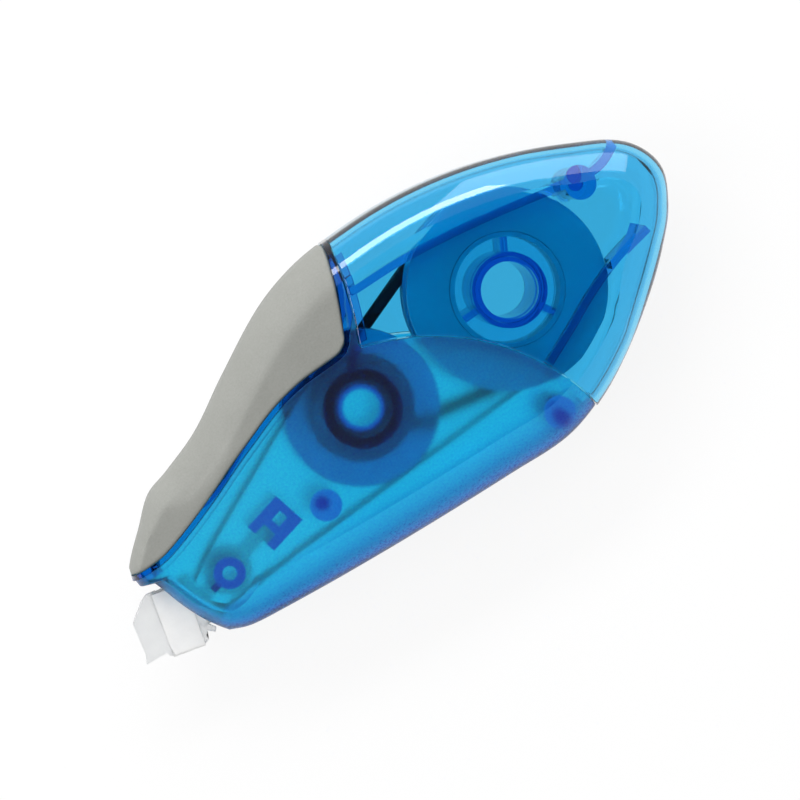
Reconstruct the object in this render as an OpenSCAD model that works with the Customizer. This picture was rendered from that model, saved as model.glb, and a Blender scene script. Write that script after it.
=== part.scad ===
/* [Spools] */
// Radius of the supply spool's flange and pulley
supply_r = 12.6; // [11.6:0.2:13.4]
// Radius of the core that the new tape is wound on
supply_hub_r = 7.6; // [7:0.1:8.2]
// Radius of the fixed tube that the supply spool turns on
supply_axle_r = 4.1; // [3.5:0.1:4.5]
// Radius of the take-up spool's flanges
take_r = 9.8; // [9:0.2:10.6]
// Radius of the core that the used carrier is wound on
take_hub_r = 4.9; // [4.5:0.1:5.4]
// Radius of the fixed tube that the take-up spool turns on
take_axle_r = 2.9; // [2.5:0.1:3.1]
// Gap between the rims of the two spools
spool_gap = 0.9; // [0.6:0.1:2]
// Direction of the take-up spool from the supply spool
take_turn = 190; // [187:1:193]
// Thickness of every flange
flange_t = 0.8; // [0.6:0.1:1]
// Wall of the cores, bearing rings and axle tubes
ring_t = 0.6; // [0.5:0.1:0.8]
// Radius of the ring on the near shell that keeps the take-up spool down
thrust_r = 4.95; // [4.6:0.05:5.3]
// Wall of that ring
thrust_t = 1.3; // [0.9:0.1:1.3]
// Width of the spokes inside the supply core
spoke_w = 0.9; // [0.6:0.1:1.4]
// Number of spokes inside the supply core
spokes = 3; // [3:1:6]
// Direction of the first spoke
spoke_turn = 66; // [0:1:119]
// Thickness of the floor between the spokes
floor_t = 1.2; // [0.8:0.1:2]

/* [Tape] */
// Width of the correction tape
tape_w = 4.2; // [3.6:0.2:6]
// Thickness at which the tape's free stretches are drawn
tape_t = 0.2; // [0.12:0.02:0.3]
// Radius of the roll of new tape
supply_roll_r = 10.8; // [8:0.2:11]
// Radius of the roll of used carrier
used_roll_r = 6.8; // [5.6:0.2:8.6]
// Free space beside the tape, between the flanges
tape_gap = 0.25; // [0.15:0.05:0.4]

/* [Belt] */
// Height of the belt's section, seen from the side
belt_w = 1.5; // [1.2:0.1:1.8]
// Thickness of the belt's section, along the axles
belt_t = 1.4; // [1:0.1:1.8]
// Radius of the belt's middle line on the take-up pulley
belt_take_r = 4.9; // [4.7:0.05:5.3]
// How far the belt lies inside the supply pulley's rim
belt_sunk = 0.55; // [0.3:0.05:0.8]

/* [Casing] */
// Wall thickness of the mouldings
wall = 1.3; // [1:0.1:1.6]
// Width of the rounding from the broad faces to the sides
edge_w = 5; // [3.5:0.5:6]
// Turn of that rounding where it meets the broad face
crease = 70; // [60:5:90]
// Height of the upright part of each half's side
band_h = 2.4; // [1.6:0.2:3.2]
// Room from the supply spool to the tail
tail_room = 11.9; // [10:0.1:15]
// Room from the supply spool to the back
crown_room = 4.2; // [4:0.1:6]
// Room from the supply spool to the sole
sole_room = 9.2; // [8.5:0.1:11]
// Reach of the nose beyond the take-up spool's axle
nose_room = 34.9; // [32:0.5:40]
// Thickness of the casing at the nose
nose_t = 11; // [10:0.5:14]
// Room from the spools to the inside of each broad face
side_room = 2.25; // [1.9:0.05:3]
// Radius of the curved border of the front shells
border_r = 29.3; // [28.5:0.1:30.5]
// Step from the rear covers down to the front shells
ledge = 0.3; // [0.1:0.1:0.6]
// Width of the raised frame round the grip
frame_w = 0.6; // [0.4:0.1:0.8]
// Radius of the bosses that join the halves
boss_r = 2; // [1.6:0.1:2.3]
// Radius of the pins inside the bosses
pin_r = 0.9; // [0.6:0.1:1]
// Length of each pin beyond its boss
pin_l = 2.4; // [1.5:0.1:3]
// Thickness of the stiffening ribs
rib_t = 1; // [0.7:0.1:1.3]
// Height of the stiffening ribs above the wall's inside
rib_h = 1.8; // [0.8:0.1:1.9]

/* [Grip] */
// Thickness of the rubber grip
grip_t = 1.5; // [1.1:0.1:1.9]
// Wall of the mouldings under the grip
seat_t = 1; // [0.7:0.1:1.2]
// How far that wall reaches beyond the grip
seat_w = 1.4; // [1.1:0.1:1.6]

/* [Nib] */
// Thickness of the nib where it leaves the casing
nib_t = 4.4; // [3.6:0.1:5]
// Thickness of the blade's edge
blade_t = 0.6; // [0.4:0.1:1]
// Length of the blade, from its edge to its root
blade_l = 6.2; // [5:0.2:7]
// Thickness of the nib's side fins and stem
stem_t = 1.6; // [1.2:0.1:2.2]
// Width of the nib's stem inside the casing
stem_w = 1.8; // [1.4:0.1:2.2]
// Wall of the nib's eye round its boss
eye_t = 1; // [0.8:0.1:1.2]

/* [Fits] */
// Running clearance round the axles
run_fit = 0.06; // [0.03:0.01:0.1]
// Clearance round pins and spigots
pin_fit = 0.05; // [0.03:0.01:0.1]
// Clearance between the belt and its pulleys
belt_fit = 0.12; // [0.08:0.02:0.2]
// Seam between the mouldings that meet at the border
seam = 0.12; // [0.08:0.02:0.2]
// Gap between the tape and what it passes over
tape_fit = 0.3; // [0.2:0.05:0.4]
// Gap between the tape and the blade that it lies on
blade_fit = 0.05; // [0.03:0.01:0.1]

/* [Hidden] */
$fn = 64;

// Heights along the axles, counted from the middle of the casing
groove_h = belt_t + 0.4;
stack_h = tape_w + 2 * tape_gap + 3 * flange_t + groove_h;
stack_top = stack_h / 2;
stack_bottom = -stack_h / 2;
groove_low = stack_bottom + flange_t;
groove_high = groove_low + groove_h;
web_top = groove_high + flange_t;
tape_low = web_top + tape_gap;
tape_high = tape_low + tape_w;
lid_low = tape_high + tape_gap;
belt_mid = (groove_low + groove_high) / 2;
body_h = stack_top + side_room + wall;
room_h = body_h - wall;

// Places in plan, counted from the supply spool's axle
supply_c = [0, 0];
take_c = (supply_r + take_r + spool_gap) * [cos(take_turn), sin(take_turn)];
belt_supply_r = supply_r - belt_w / 2 - belt_sunk;

// The casing's shape is drawn for these reaches and follows the real ones
drawn = [24.5, 16.8, 57.8, 21.8];
reach = [supply_r + tail_room, supply_r + crown_room,
    nose_room - take_c.x, supply_r + sole_room];
function at(x, y) = [x * (x > 0 ? reach[0] / drawn[0] : reach[2] / drawn[2]),
    y * (y > 0 ? reach[1] / drawn[1] : reach[3] / drawn[3])];
function place(points) = [for (p = points) at(p.x, p.y)];

// Smooth curve through points, n steps for each stretch
function last(list) = list[len(list) - 1];
function heading(p, i) =
    let (a = p[max(i - 1, 0)], b = p[min(i + 1, len(p) - 1)]) (b - a) / norm(b - a);
function bend(a, b, u, v, t) = (2 * t ^ 3 - 3 * t ^ 2 + 1) * a + (t ^ 3 - 2 * t ^ 2 + t) * u
    + (3 * t ^ 2 - 2 * t ^ 3) * b + (t ^ 3 - t ^ 2) * v;
function curve(p, n) = [for (i = [0:len(p) - 2]) let (l = norm(p[i + 1] - p[i]))
    for (k = [0:n - 1]) bend(p[i], p[i + 1], heading(p, i) * l, heading(p, i + 1) * l, k / n),
    last(p)];
function arc(c, r, a0, a1, n) = [for (i = [0:n]) let (a = a0 + (a1 - a0) * i / n)
    c + r * [cos(a), sin(a)]];
function clamp(v, low, high) = max(low, min(high, v));
function ease(t) = let (u = clamp(t, 0, 1)) u * u * (3 - 2 * u);

// Outline in plan: from the sole at the nose, round the tail, along the back to the lip
steps = 4;
rim = curve(place([[-50.6, -20.8], [-48, -21.6], [-44, -21.8], [-34, -21.75], [-22, -21.4],
    [-10, -20.8], [-2, -20.2], [4, -17.9], [10, -14], [16, -8.9], [20, -4.7], [23, -0.6],
    [24.5, 4.4], [22, 8.95], [16, 12], [8, 14.7], [0, 16.3], [-8, 16.8], [-16, 16.2],
    [-22, 15.05], [-28, 12.6], [-36, 7.4], [-42.4, 2.9], [-47.9, 0.3], [-51.2, -1.1],
    [-54.1, -4.1], [-57.5, -7.8], [-58, -9.3]]), steps);
lip = place([[-57.8, -10.4], [-56.1, -10.9]]);
nose_edge = curve(place([[-55.6, -12], [-54.4, -15], [-52.8, -18], [-51.4, -19.9]]), 2);

// Stations across the casing, between the tail's centre and the nose's centre
tail_x = at(10, 0).x;
nose_x = at(-44, 0).x;
stations = 16;
tip_i = search([max([for (p = rim) p.x])], [for (p = rim) p.x])[0];
sole_line = [for (i = [0:tip_i]) rim[i]];
back_line = [for (i = [tip_i:len(rim) - 1]) rim[i]];
function sole_y(x) = lookup(x, sole_line);
function back_y(x) = lookup(x, back_line);
function mid_y(x) = (sole_y(x) + back_y(x)) / 2;
xs = [for (i = [0:stations]) tail_x + (nose_x - tail_x) * i / stations];
outline = concat(
    [for (x = xs) [x, back_y(x)]],
    [for (i = [0:2:len(back_line) - 1]) if (back_line[i].x < nose_x - 0.2) back_line[i]],
    lip, nose_edge,
    [for (i = [0:2:len(sole_line) - 1]) if (sole_line[i].x < nose_x - 0.2) sole_line[i]],
    [for (i = [stations:-1:0]) [xs[i], sole_y(xs[i])]],
    [for (p = rim) if (p.x > tail_x + 0.2) p]);
count = len(outline);

// Spine below each outline point, where the roundings close
spine = [for (x = xs) [x, mid_y(x)]];
function foot_i(p) = round(clamp((p.x - tail_x) / (nose_x - tail_x), 0, 1) * stations);

// The nose has smaller roundings and is thinner than the rest
soft_from = at(-44, 0).x;
soft_to = at(-54, 0).x;
thin_from = at(-26, 0).x;
nose_tip = -reach[2];
function soft(p) = 1 - 0.75 * clamp((soft_from - p.x) / (soft_from - soft_to), 0, 1);
function thin(x) = 1 - (1 - nose_t / 2 / body_h) * ease((thin_from - x) / (thin_from - nose_tip));

// Ring of the casing's skin, drawn in by e everywhere and by d on the roundings
function ring_at(e, d, z) = [for (p = outline) let (f = spine[foot_i(p)],
    q = p + (f - p) / norm(f - p) * (e + d * soft(p))) [q.x, q.y, z * thin(q.x)]];
function skin(e, h, turn) = [for (i = [0:90 / turn]) let (a = crease * i * turn / 90)
    [e, edge_w * (1 - cos(a)) / (1 - cos(crease)), band_h + (h - band_h) * sin(a) / sin(crease)]];

// Closed solid between rings, capped along the spine
module loft(rings) {
    n = len(rings);
    m = count * n;
    caps = len(spine);
    points = concat([for (r = rings) each ring_at(r[0], r[1], r[2])],
        [for (f = spine) [f.x, f.y, rings[0][2] * thin(f.x)]],
        [for (f = spine) [f.x, f.y, rings[n - 1][2] * thin(f.x)]]);
    sides = [for (k = [0:n - 2], i = [0:count - 1])
        let (j = (i + 1) % count, a = k * count, b = a + count)
        each [[a + i, b + i, b + j], [a + i, b + j, a + j]]];
    ends = [for (i = [0:count - 1])
        let (j = (i + 1) % count, s = m + foot_i(outline[i]), t = m + foot_i(outline[j]),
            a = (n - 1) * count)
        each concat([[i, j, t], [a + j, a + i, t + caps]],
            s == t ? [] : [[i, t, s], [a + i, s + caps, t + caps]])];
    polyhedron(points = points, faces = concat(sides, ends), convexity = 6);
}
// One half of the casing's outside, drawn in by e
module half(e, turn = 22.5) {
    loft(concat([[e, 0, 0]], skin(e, body_h - e, turn)));
}
// The same, on both sides of the middle
module whole(e, turn = 22.5) {
    up = skin(e, body_h - e, turn);
    down = [for (i = [len(up) - 1:-1:0]) [up[i][0], up[i][1], -up[i][2]]];
    loft(concat(down, up));
}
// Space inside one half, drawn in by e and reaching past the middle
module room(e = wall, base = -1) {
    loft(concat([[e, 0, base]], skin(e, body_h - e, 30)));
}

// Borders in plan: the front shells end on an arc from the grip's corner to the sole
grip_corner = at(-19.5, 2.7);
sole_corner = at(3, -18.2);
chord = sole_corner - grip_corner;
border_c = (grip_corner + sole_corner) / 2
    + [chord.y, -chord.x] / norm(chord) * sqrt(border_r ^ 2 - (norm(chord) / 2) ^ 2);
function bearing(p) = let (v = p - border_c) atan2(v.y, v.x);
function border(g) = arc(border_c, border_r + g, bearing(sole_corner) - 7,
    bearing(grip_corner), 40);
rear_edge = place([[-19.6, 3.2], [-18.5, 6.8], [-17.6, 10.4], [-17.1, 13.5], [-16.6, 16.5], [-16, 20]]);
grip_rear = place([[-19.6, 8.1], [-18.5, 11.6], [-17.7, 14.6], [-17.2, 17], [-16.6, 20]]);
function shifted(points, g) = [for (p = points) p + [g, 0]];
far_out = 90;
front_area = concat(border(0), rear_edge, [[-far_out, far_out], [-far_out, -far_out],
    [border(0)[0].x, -far_out]]);
rear_area = concat([[border(seam)[0].x, -far_out]], border(seam), shifted(rear_edge, seam),
    [[far_out, far_out], [far_out, -far_out]]);
grip_low = curve(place([[-62, -8.9], [-57.4, -8.7], [-54.6, -8.5], [-52.4, -8], [-48.5, -6.4],
    [-44.3, -4.4], [-40.3, -2.3], [-37, -0.7], [-32.4, 1.4], [-28.2, 2.6], [-24.4, 3.1],
    [-22.3, 3.4], [-21.2, 4.1], [-20.6, 5.1]]), 3);
grip_area = concat(grip_low, grip_rear, [[-far_out, far_out], [-far_out, grip_low[0].y]]);

module slab(area, low, high) {
    translate([0, 0, low]) linear_extrude(high - low) polygon(area);
}
module post(p, r, low, high) {
    translate([p.x, p.y, low]) cylinder(r = r, h = high - low);
}
module tube(p, r, t, low, high) {
    difference() {
        post(p, r, low, high);
        post(p, r - t, low - 1, high + 1);
    }
}
module flip(far) {
    if (far) mirror([0, 0, 1]) children();
    else children();
}

// Lines beside a line in plan, and the strip of even width between them
function side(p, i) = let (h = heading(p, i)) [-h.y, h.x];
function beside(p, w) = [for (i = [0:len(p) - 1]) p[i] + side(p, i) * w];
function strip(p, w) = let (b = beside(p, -w / 2))
    concat(beside(p, w / 2), [for (i = [len(b) - 1:-1:0]) b[i]]);
function ring_strip(g, w) = concat(border(g), [for (i = [40:-1:0]) border(g + w)[i]]);

// The front shells' raised frame below and behind the grip, and the wall of the grip's seat
function round_grip(w) = concat(beside(grip_low, -w),
    [for (i = [1:len(rear_edge) - 1]) rear_edge[i]],
    [[-far_out, far_out], [-far_out, grip_low[0].y - w]]);
frame_area = round_grip(frame_w);
seat_area = round_grip(seat_w);

// Straight line that touches two circles on the same side of both
function tangent(c, r, d, s, hand) = let (v = d - c,
    a = atan2(v.y, v.x) + hand * acos((r - s) / norm(v)), u = [cos(a), sin(a)])
    [c + r * u, d + s * u];

// Bosses that join the halves, and the eye boss that holds the nib
rear_boss = at(14, 7.3);
sole_boss = at(-1.7, -16.2);
mid_boss = at(-32.6, -12.3);
eye_boss = at(-47, -14);
front_pins = [sole_boss, mid_boss];
rear_pins = [rear_boss];

// Ribs inside the rear covers
high_rib = curve(place([[-17.3, 9.2], [-9, 9.7], [1, 9.3], [11.4, 8.2], [14.2, 7.7],
    [17.2, 7.8], [20, 8.9]]), 3);
low_rib = curve(place([[18.6, -1.4], [13.4, -3.1], [8.9, -5.2], [4.5, -7.8], [0.1, -10.3]]), 3);

// Short rib in the near front shell, from its border to the thrust ring
ring_rib = place([[-19.6, 3], [-20.9, 2.2], [-22.1, 0.5]]);
edge_rim_t = 1.1;
edge_rim = concat(shifted(rear_edge, seam),
    [for (i = [len(rear_edge) - 1:-1:0]) rear_edge[i] + [seam + edge_rim_t, 0]]);

// Short rib on the eye boss, clear of the nib's eye
eye_rib_l = 1;
eye_rib_w = 0.9;
module eye_rib() {
    translate([eye_boss.x, eye_boss.y, stem_t / 2 + 0.2]) rotate(197)
        translate([boss_r - 0.4, -eye_rib_w / 2, 0])
            cube([eye_rib_l + 0.4, eye_rib_w, far_out]);
}

// Bracket at the end of the nib's stem, on the near shell
bracket_c = at(-38.4, -11);
stem_turn = atan2(eye_boss.y - bracket_c.y, eye_boss.x - bracket_c.x);
bracket_w = 4.4;
bracket_l = 3.6;
leg_l = 1.6;
bracket_reach = stem_t / 2 + 1;
module bracket_frame() {
    translate([bracket_c.x, bracket_c.y, 0]) rotate(stem_turn) children();
}
module bracket_area() {
    hole = [1.5, 1.25];
    leg_w = (bracket_w - stem_w) / 2 - pin_fit;
    difference() {
        square([bracket_l, bracket_w], center = true);
        square(hole, center = true);
    }
    for (s = [-1, 1])
        translate([bracket_l / 2, s > 0 ? bracket_w / 2 - leg_w : -bracket_w / 2])
            square([leg_l, leg_w]);
}

// Nib: the base fills the nose's opening and the blade stands out of it
nib_c = at(-56, -20.5);
nib_turn = -8.6;
nose_fit = 0.2;
base_area = place([[-55.6, -12.2], [-51.6, -12.2], [-51, -18.6], [-53.1, -18.6], [-54.5, -15.4]]);
open_area = place([[-60, -11.9], [-51.2, -11.9], [-50.7, -18.9], [-52.4, -19.1], [-60, -26]]);
left_fin = [[-1.5, 8.4], [-2.8, 8.3], [-3.7, 7.6], [-4.2, 7], [-5.1, 6], [-5.5, 5.4],
    [-5.3, 1.4], [-5.6, 0.2], [-2.8, 0.7], [-2.5, 0.2], [-2, 0], [-2, 5]];
right_fin = [[1.9, 0], [2.7, 0.4], [2.6, 1], [2.9, 1.4], [3.1, 4], [1.9, 4]];
heel = place([[-53.9, -17.6], [-53.1, -17.8], [-51.75, -19.7], [-52.1, -20.05], [-53.5, -18.9]]);
module nib_frame() {
    translate([nib_c.x, nib_c.y, 0]) rotate(nib_turn) children();
}

// The part lies on its far face, with its origin under the middle of its outline
fin_x = min([for (p = left_fin) nib_c.x + p.x * cos(nib_turn) - p.y * sin(nib_turn)]);
centre = [(max([for (p = outline) p.x]) + fin_x) / 2,
    (max([for (p = outline) p.y]) + min([for (p = outline) p.y]) + ledge) / 2];
module lying() {
    translate([-centre.x, -centre.y, body_h]) children();
}

// Front shells: frosted, stepped down under the grip, open at the nose
module front_half(far) {
    difference() {
        union() {
            intersection() {
                half(ledge);
                slab(front_area, -1, far_out);
            }
            intersection() {
                half(0);
                slab(frame_area, -1, far_out);
                slab(front_area, -1, far_out);
            }
        }
        difference() {
            slab(grip_area, -1, far_out);
            half(grip_t + seam, 30);
        }
        difference() {
            room();
            difference() {
                slab(seat_area, -3, far_out);
                room(grip_t + seam + seat_t, -4);
            }
            if (!far) slab(strip(ring_rib, rib_t), room_h - rib_h, far_out);
            for (p = front_pins) post(p, boss_r, -2, far_out);
            tube(eye_boss, boss_r, boss_r - pin_r, -2, far_out);
            eye_rib();
            slab(ring_strip(-rib_t, rib_t + 1), room_h - rib_h, far_out);
        }
        slab(open_area, -1, nib_t / 2 + nose_fit);
        if (far) for (p = front_pins) post(p, pin_r + pin_fit, -1, pin_l + 0.4);
    }
    if (!far) for (p = front_pins) post(p, pin_r, -pin_l, 1);
}
module front_shell_near() {
    color("DodgerBlue") {
        front_half(false);
        tube(take_c, thrust_r, thrust_t, stack_top + tape_gap, room_h + wall / 2);
        bracket_frame() translate([0, 0, -bracket_reach])
            linear_extrude(bracket_reach + room_h * thin(bracket_c.x) + wall / 3) bracket_area();
    }
}
module front_shell_far() {
    color("DodgerBlue") {
        flip(true) front_half(true);
        tube(take_c, take_axle_r, ring_t, -room_h - wall / 2, stack_top - tape_gap);
    }
}

// Rear covers: clear, with a rim along the front edge and a boss at the tail
module rear_half(far) {
    difference() {
        intersection() {
            half(0);
            slab(rear_area, -1, far_out);
        }
        difference() {
            room();
            for (p = rear_pins) post(p, boss_r, -2, far_out);
            slab(edge_rim, room_h - rib_h, far_out);
            if (!far) for (line = [high_rib, low_rib])
                slab(strip(line, rib_t), room_h - rib_h, far_out);
        }
        if (far) for (p = rear_pins) post(p, pin_r + pin_fit, -1, pin_l + 0.4);
    }
    if (!far) for (p = rear_pins) post(p, pin_r, -pin_l, 1);
}
module rear_cover_near() {
    color("DeepSkyBlue") {
        rear_half(false);
        tube(supply_c, supply_axle_r + ring_t, 2 * ring_t - 0.1, stack_top + tape_gap,
            room_h + wall / 2);
    }
}
module rear_cover_far() {
    color("DeepSkyBlue") {
        flip(true) rear_half(true);
        tube(supply_c, supply_axle_r, ring_t, -room_h - wall / 2, stack_top - tape_gap);
    }
}

// Rubber grip: a saddle over the back and both broad faces
module soft_grip() {
    color("DarkGray") difference() {
        intersection() {
            whole(0);
            slab(grip_area, -far_out, far_out);
        }
        whole(grip_t, 30);
    }
}

// Nib: wedge-shaped blade between two fins, on a stem held by its boss and bracket
blade_w = tape_w + 0.2;
blade_in = 2;
channel_d = 0.6;
blade_top = nib_t / 2 - channel_d;
function blade_side(g) = [[blade_l + blade_in, blade_top + g], [blade_l, blade_top + g],
    [blade_t / 3, blade_t / 2 + g], [-g, blade_t / 4]];
function blade_both(g) = let (s = blade_side(g))
    concat(s, [for (i = [len(s) - 1:-1:0]) [s[i].x, -s[i].y]]);
module across_blade(w) {
    nib_frame() rotate([90, 0, 90]) linear_extrude(w, center = true) children();
}
module tape_way() {
    y0 = -1;
    y1 = blade_l + 2 * blade_in - 1;
    across_blade(tape_w + 0.1) polygon([[y0, nib_t], [y1, nib_t], [y1, blade_top],
        [blade_l, blade_top], [blade_l, -blade_top], [y1, -blade_top], [y1, -nib_t], [y0, -nib_t]]);
}
module nib() {
    color("WhiteSmoke") difference() {
        union() {
            difference() {
                union() {
                    slab(base_area, -nib_t / 2, nib_t / 2);
                    slab(heel, -stem_t / 2, stem_t / 2);
                    nib_frame() {
                        slab(left_fin, -stem_t / 2, stem_t / 2);
                        slab(right_fin, -stem_t / 2, stem_t / 2);
                    }
                }
                tape_way();
            }
            across_blade(blade_w) polygon(blade_both(0));
            post(eye_boss, boss_r + pin_fit + eye_t, -stem_t / 2, stem_t / 2);
            bracket_frame() translate([bracket_l / 2 + 0.1, -stem_w / 2, -stem_t / 2])
                cube([norm(base_area[2] - bracket_c) - bracket_l / 2, stem_w, stem_t]);
        }
        post(eye_boss, boss_r + pin_fit, -stem_t, stem_t);
    }
}

// Belt: round both pulleys on the far side of the spools
module loop_area(g) {
    hull() {
        translate(supply_c) circle(r = belt_supply_r + g, $fn = 96);
        translate(take_c) circle(r = belt_take_r + g, $fn = 96);
    }
}
module drive_belt() {
    color("DarkSlateGray") translate([0, 0, belt_mid - belt_t / 2]) linear_extrude(belt_t)
        difference() {
            loop_area(belt_w / 2);
            loop_area(-belt_w / 2);
        }
}

// Free stretches of tape: new tape runs under the bosses and round the blade's edge, and
// used carrier runs back above the eye
eye_r = boss_r + pin_fit + eye_t + tape_fit + tape_t / 2;
feed = tangent(supply_c, supply_roll_r + tape_fit + tape_t / 2, eye_boss, eye_r, 1);
feed_out = at(-50.7, -18.2);
back_in = at(-51.2, -13);
back = tangent(eye_boss, eye_r, take_c, used_roll_r + tape_fit + tape_t / 2, 1);
module tape_line(points) {
    color("White") slab(strip(points, tape_t), tape_low, tape_high);
}
module tape_feed() {
    tape_line([feed[0], feed[1], feed_out]);
}
module tape_return() {
    tape_line([back_in, back[0], back[1]]);
}
module tape_blade() {
    outside = blade_both(blade_fit + tape_t);
    inside = blade_both(blade_fit);
    color("White") across_blade(tape_w)
        polygon(concat(outside, [for (i = [len(inside) - 1:-1:0]) inside[i]]));
}

// Supply spool: core with spokes, flange on one end, belt pulley on the other
module profile(points) {
    rotate_extrude() polygon(points);
}
module core(hub_r, bore_r, bearing_low) {
    difference() {
        union() {
            post([0, 0], hub_r, web_top, lid_low);
            post([0, 0], hub_r - 0.4, web_top - flange_t, lid_low + flange_t);
        }
        post([0, 0], hub_r - ring_t - 0.4, -far_out, far_out);
    }
    tube([0, 0], bore_r + ring_t, ring_t, bearing_low, stack_top);
}
module at_spool(c) {
    translate([c.x, c.y, 0]) children();
}
module supply_core() {
    bore_r = supply_axle_r + run_fit;
    spoke_l = supply_hub_r - ring_t - bore_r - ring_t / 2;
    color("RoyalBlue") at_spool(supply_c) {
        core(supply_hub_r, bore_r, stack_bottom);
        floor_r = supply_hub_r - ring_t - 0.2;
        tube([0, 0], floor_r, floor_r - bore_r - ring_t / 2, web_top, web_top + floor_t);
        for (i = [0:spokes - 1]) rotate(spoke_turn + i * 360 / spokes)
            translate([bore_r + ring_t / 2, -spoke_w / 2, stack_bottom + 0.3])
                cube([spoke_l, spoke_w, stack_h - 0.6]);
    }
}
module supply_flange() {
    color("MediumBlue") at_spool(supply_c)
        tube([0, 0], supply_r, supply_r - supply_hub_r + 0.4 - pin_fit, lid_low, stack_top);
}
supply_root = belt_supply_r - belt_w / 2 - belt_fit;
take_root = belt_take_r - belt_w / 2 - belt_fit;
module supply_pulley() {
    in_r = supply_hub_r - 0.4 + pin_fit;
    rim_r = supply_root - 1.1;
    color("MediumBlue") at_spool(supply_c) profile([[in_r, groove_high], [rim_r, groove_high],
        [rim_r, stack_bottom], [supply_r, stack_bottom], [supply_r, groove_low],
        [supply_root, groove_low], [supply_root, groove_high], [supply_r, groove_high],
        [supply_r, web_top], [in_r, web_top]]);
}
module supply_tape() {
    color("White") at_spool(supply_c)
        tube([0, 0], supply_roll_r, supply_roll_r - supply_hub_r - pin_fit, tape_low, tape_high);
}

// Take-up spool: the same, smaller, on its own axle
module take_up_core() {
    bore_r = take_axle_r + run_fit;
    color("RoyalBlue") at_spool(take_c) difference() {
        union() {
            post([0, 0], take_hub_r, web_top, lid_low);
            post([0, 0], take_hub_r - 0.4, lid_low, stack_top);
        }
        post([0, 0], bore_r, -far_out, far_out);
        post([0, 0], bore_r + 0.4, stack_top - 1, far_out);
    }
}
module take_up_flange() {
    color("MediumBlue") at_spool(take_c)
        tube([0, 0], take_r, take_r - take_hub_r + 0.4 - pin_fit, lid_low, stack_top);
}
module take_up_pulley() {
    bore_r = take_axle_r + run_fit;
    lip_r = belt_take_r + belt_w / 2 + 0.5;
    color("MediumBlue") at_spool(take_c) profile([[bore_r, stack_bottom], [lip_r, stack_bottom],
        [lip_r, groove_low], [take_root, groove_low], [take_root, groove_high],
        [take_r, groove_high], [take_r, web_top], [bore_r, web_top]]);
}
module take_up_tape() {
    color("LightSteelBlue") at_spool(take_c)
        tube([0, 0], used_roll_r, used_roll_r - take_hub_r - pin_fit, tape_low, tape_high);
}

lying() front_shell_near();
lying() front_shell_far();
lying() rear_cover_near();
lying() rear_cover_far();
lying() soft_grip();
lying() nib();
lying() drive_belt();
lying() tape_feed();
lying() tape_blade();
lying() tape_return();
lying() supply_core();
lying() supply_flange();
lying() supply_pulley();
lying() supply_tape();
lying() take_up_core();
lying() take_up_flange();
lying() take_up_pulley();
lying() take_up_tape();
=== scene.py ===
"""Dresses a correction tape roller: casing, grip, nib, belt, tape and spools."""

import logging
import math
from dataclasses import dataclass, field
from enum import Enum
from typing import Iterable, Sequence

import bmesh
import bpy
from mathutils import Matrix, Vector

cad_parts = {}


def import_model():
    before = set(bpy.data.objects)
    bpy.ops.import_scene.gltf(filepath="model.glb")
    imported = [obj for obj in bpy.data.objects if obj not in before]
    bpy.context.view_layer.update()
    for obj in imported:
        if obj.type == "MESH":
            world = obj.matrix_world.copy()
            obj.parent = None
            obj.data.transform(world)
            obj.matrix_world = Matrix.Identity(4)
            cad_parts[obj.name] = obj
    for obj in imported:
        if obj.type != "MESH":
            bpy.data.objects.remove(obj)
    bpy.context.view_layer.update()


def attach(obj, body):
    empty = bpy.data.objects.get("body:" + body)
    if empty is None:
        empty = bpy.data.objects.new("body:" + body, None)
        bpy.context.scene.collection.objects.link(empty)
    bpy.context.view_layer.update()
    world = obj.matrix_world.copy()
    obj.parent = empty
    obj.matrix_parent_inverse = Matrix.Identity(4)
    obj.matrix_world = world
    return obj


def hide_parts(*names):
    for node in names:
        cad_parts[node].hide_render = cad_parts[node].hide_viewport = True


LOG = logging.getLogger("tape_roller")
ZONE = "zone"
MM = 0.001
# The drawing's origin is the supply axle at mid thickness, and the frame's lies under the outline.
DRAWING_TO_FRAME = Matrix.Scale(MM, 4) @ Matrix.Translation((18.5259, 2.36326, 8.0))
TURN_STEPS = 128
SHARP_EDGE = math.radians(50)

Plan = tuple[float, float]
Place = tuple[float, float, float]
Colour = tuple[float, float, float]


# Small sums


def clamp(value: float, low: float, high: float) -> float:
    """Keeps a number between two limits."""
    return max(low, min(high, value))


def ease(share: float) -> float:
    """Smooth step from 0 to 1."""
    t = clamp(share, 0.0, 1.0)
    return t * t * (3.0 - 2.0 * t)


def unit(x: float, y: float) -> Plan:
    """A direction of length 1."""
    size = math.hypot(x, y)
    return x / size, y / size


def turned(centre: Plan, radius: float, degrees: float) -> Plan:
    """The point of a circle at an angle."""
    angle = math.radians(degrees)
    return centre[0] + radius * math.cos(angle), centre[1] + radius * math.sin(angle)


def level(points: Sequence[Plan], x: float) -> float:
    """Reads y from a line of points at x.

    Args:
        points: Line whose x values rise or fall all the way.
        x: Where it is read.

    Returns:
        The height of the line there, or that of its nearest end.
    """
    line = points if points[0][0] < points[-1][0] else points[::-1]
    if x <= line[0][0]:
        return line[0][1]
    for (ax, ay), (bx, by) in zip(line, line[1:]):
        if x <= bx:
            return ay + (by - ay) * (x - ax) / max(bx - ax, 1e-9)
    return line[-1][1]


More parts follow.
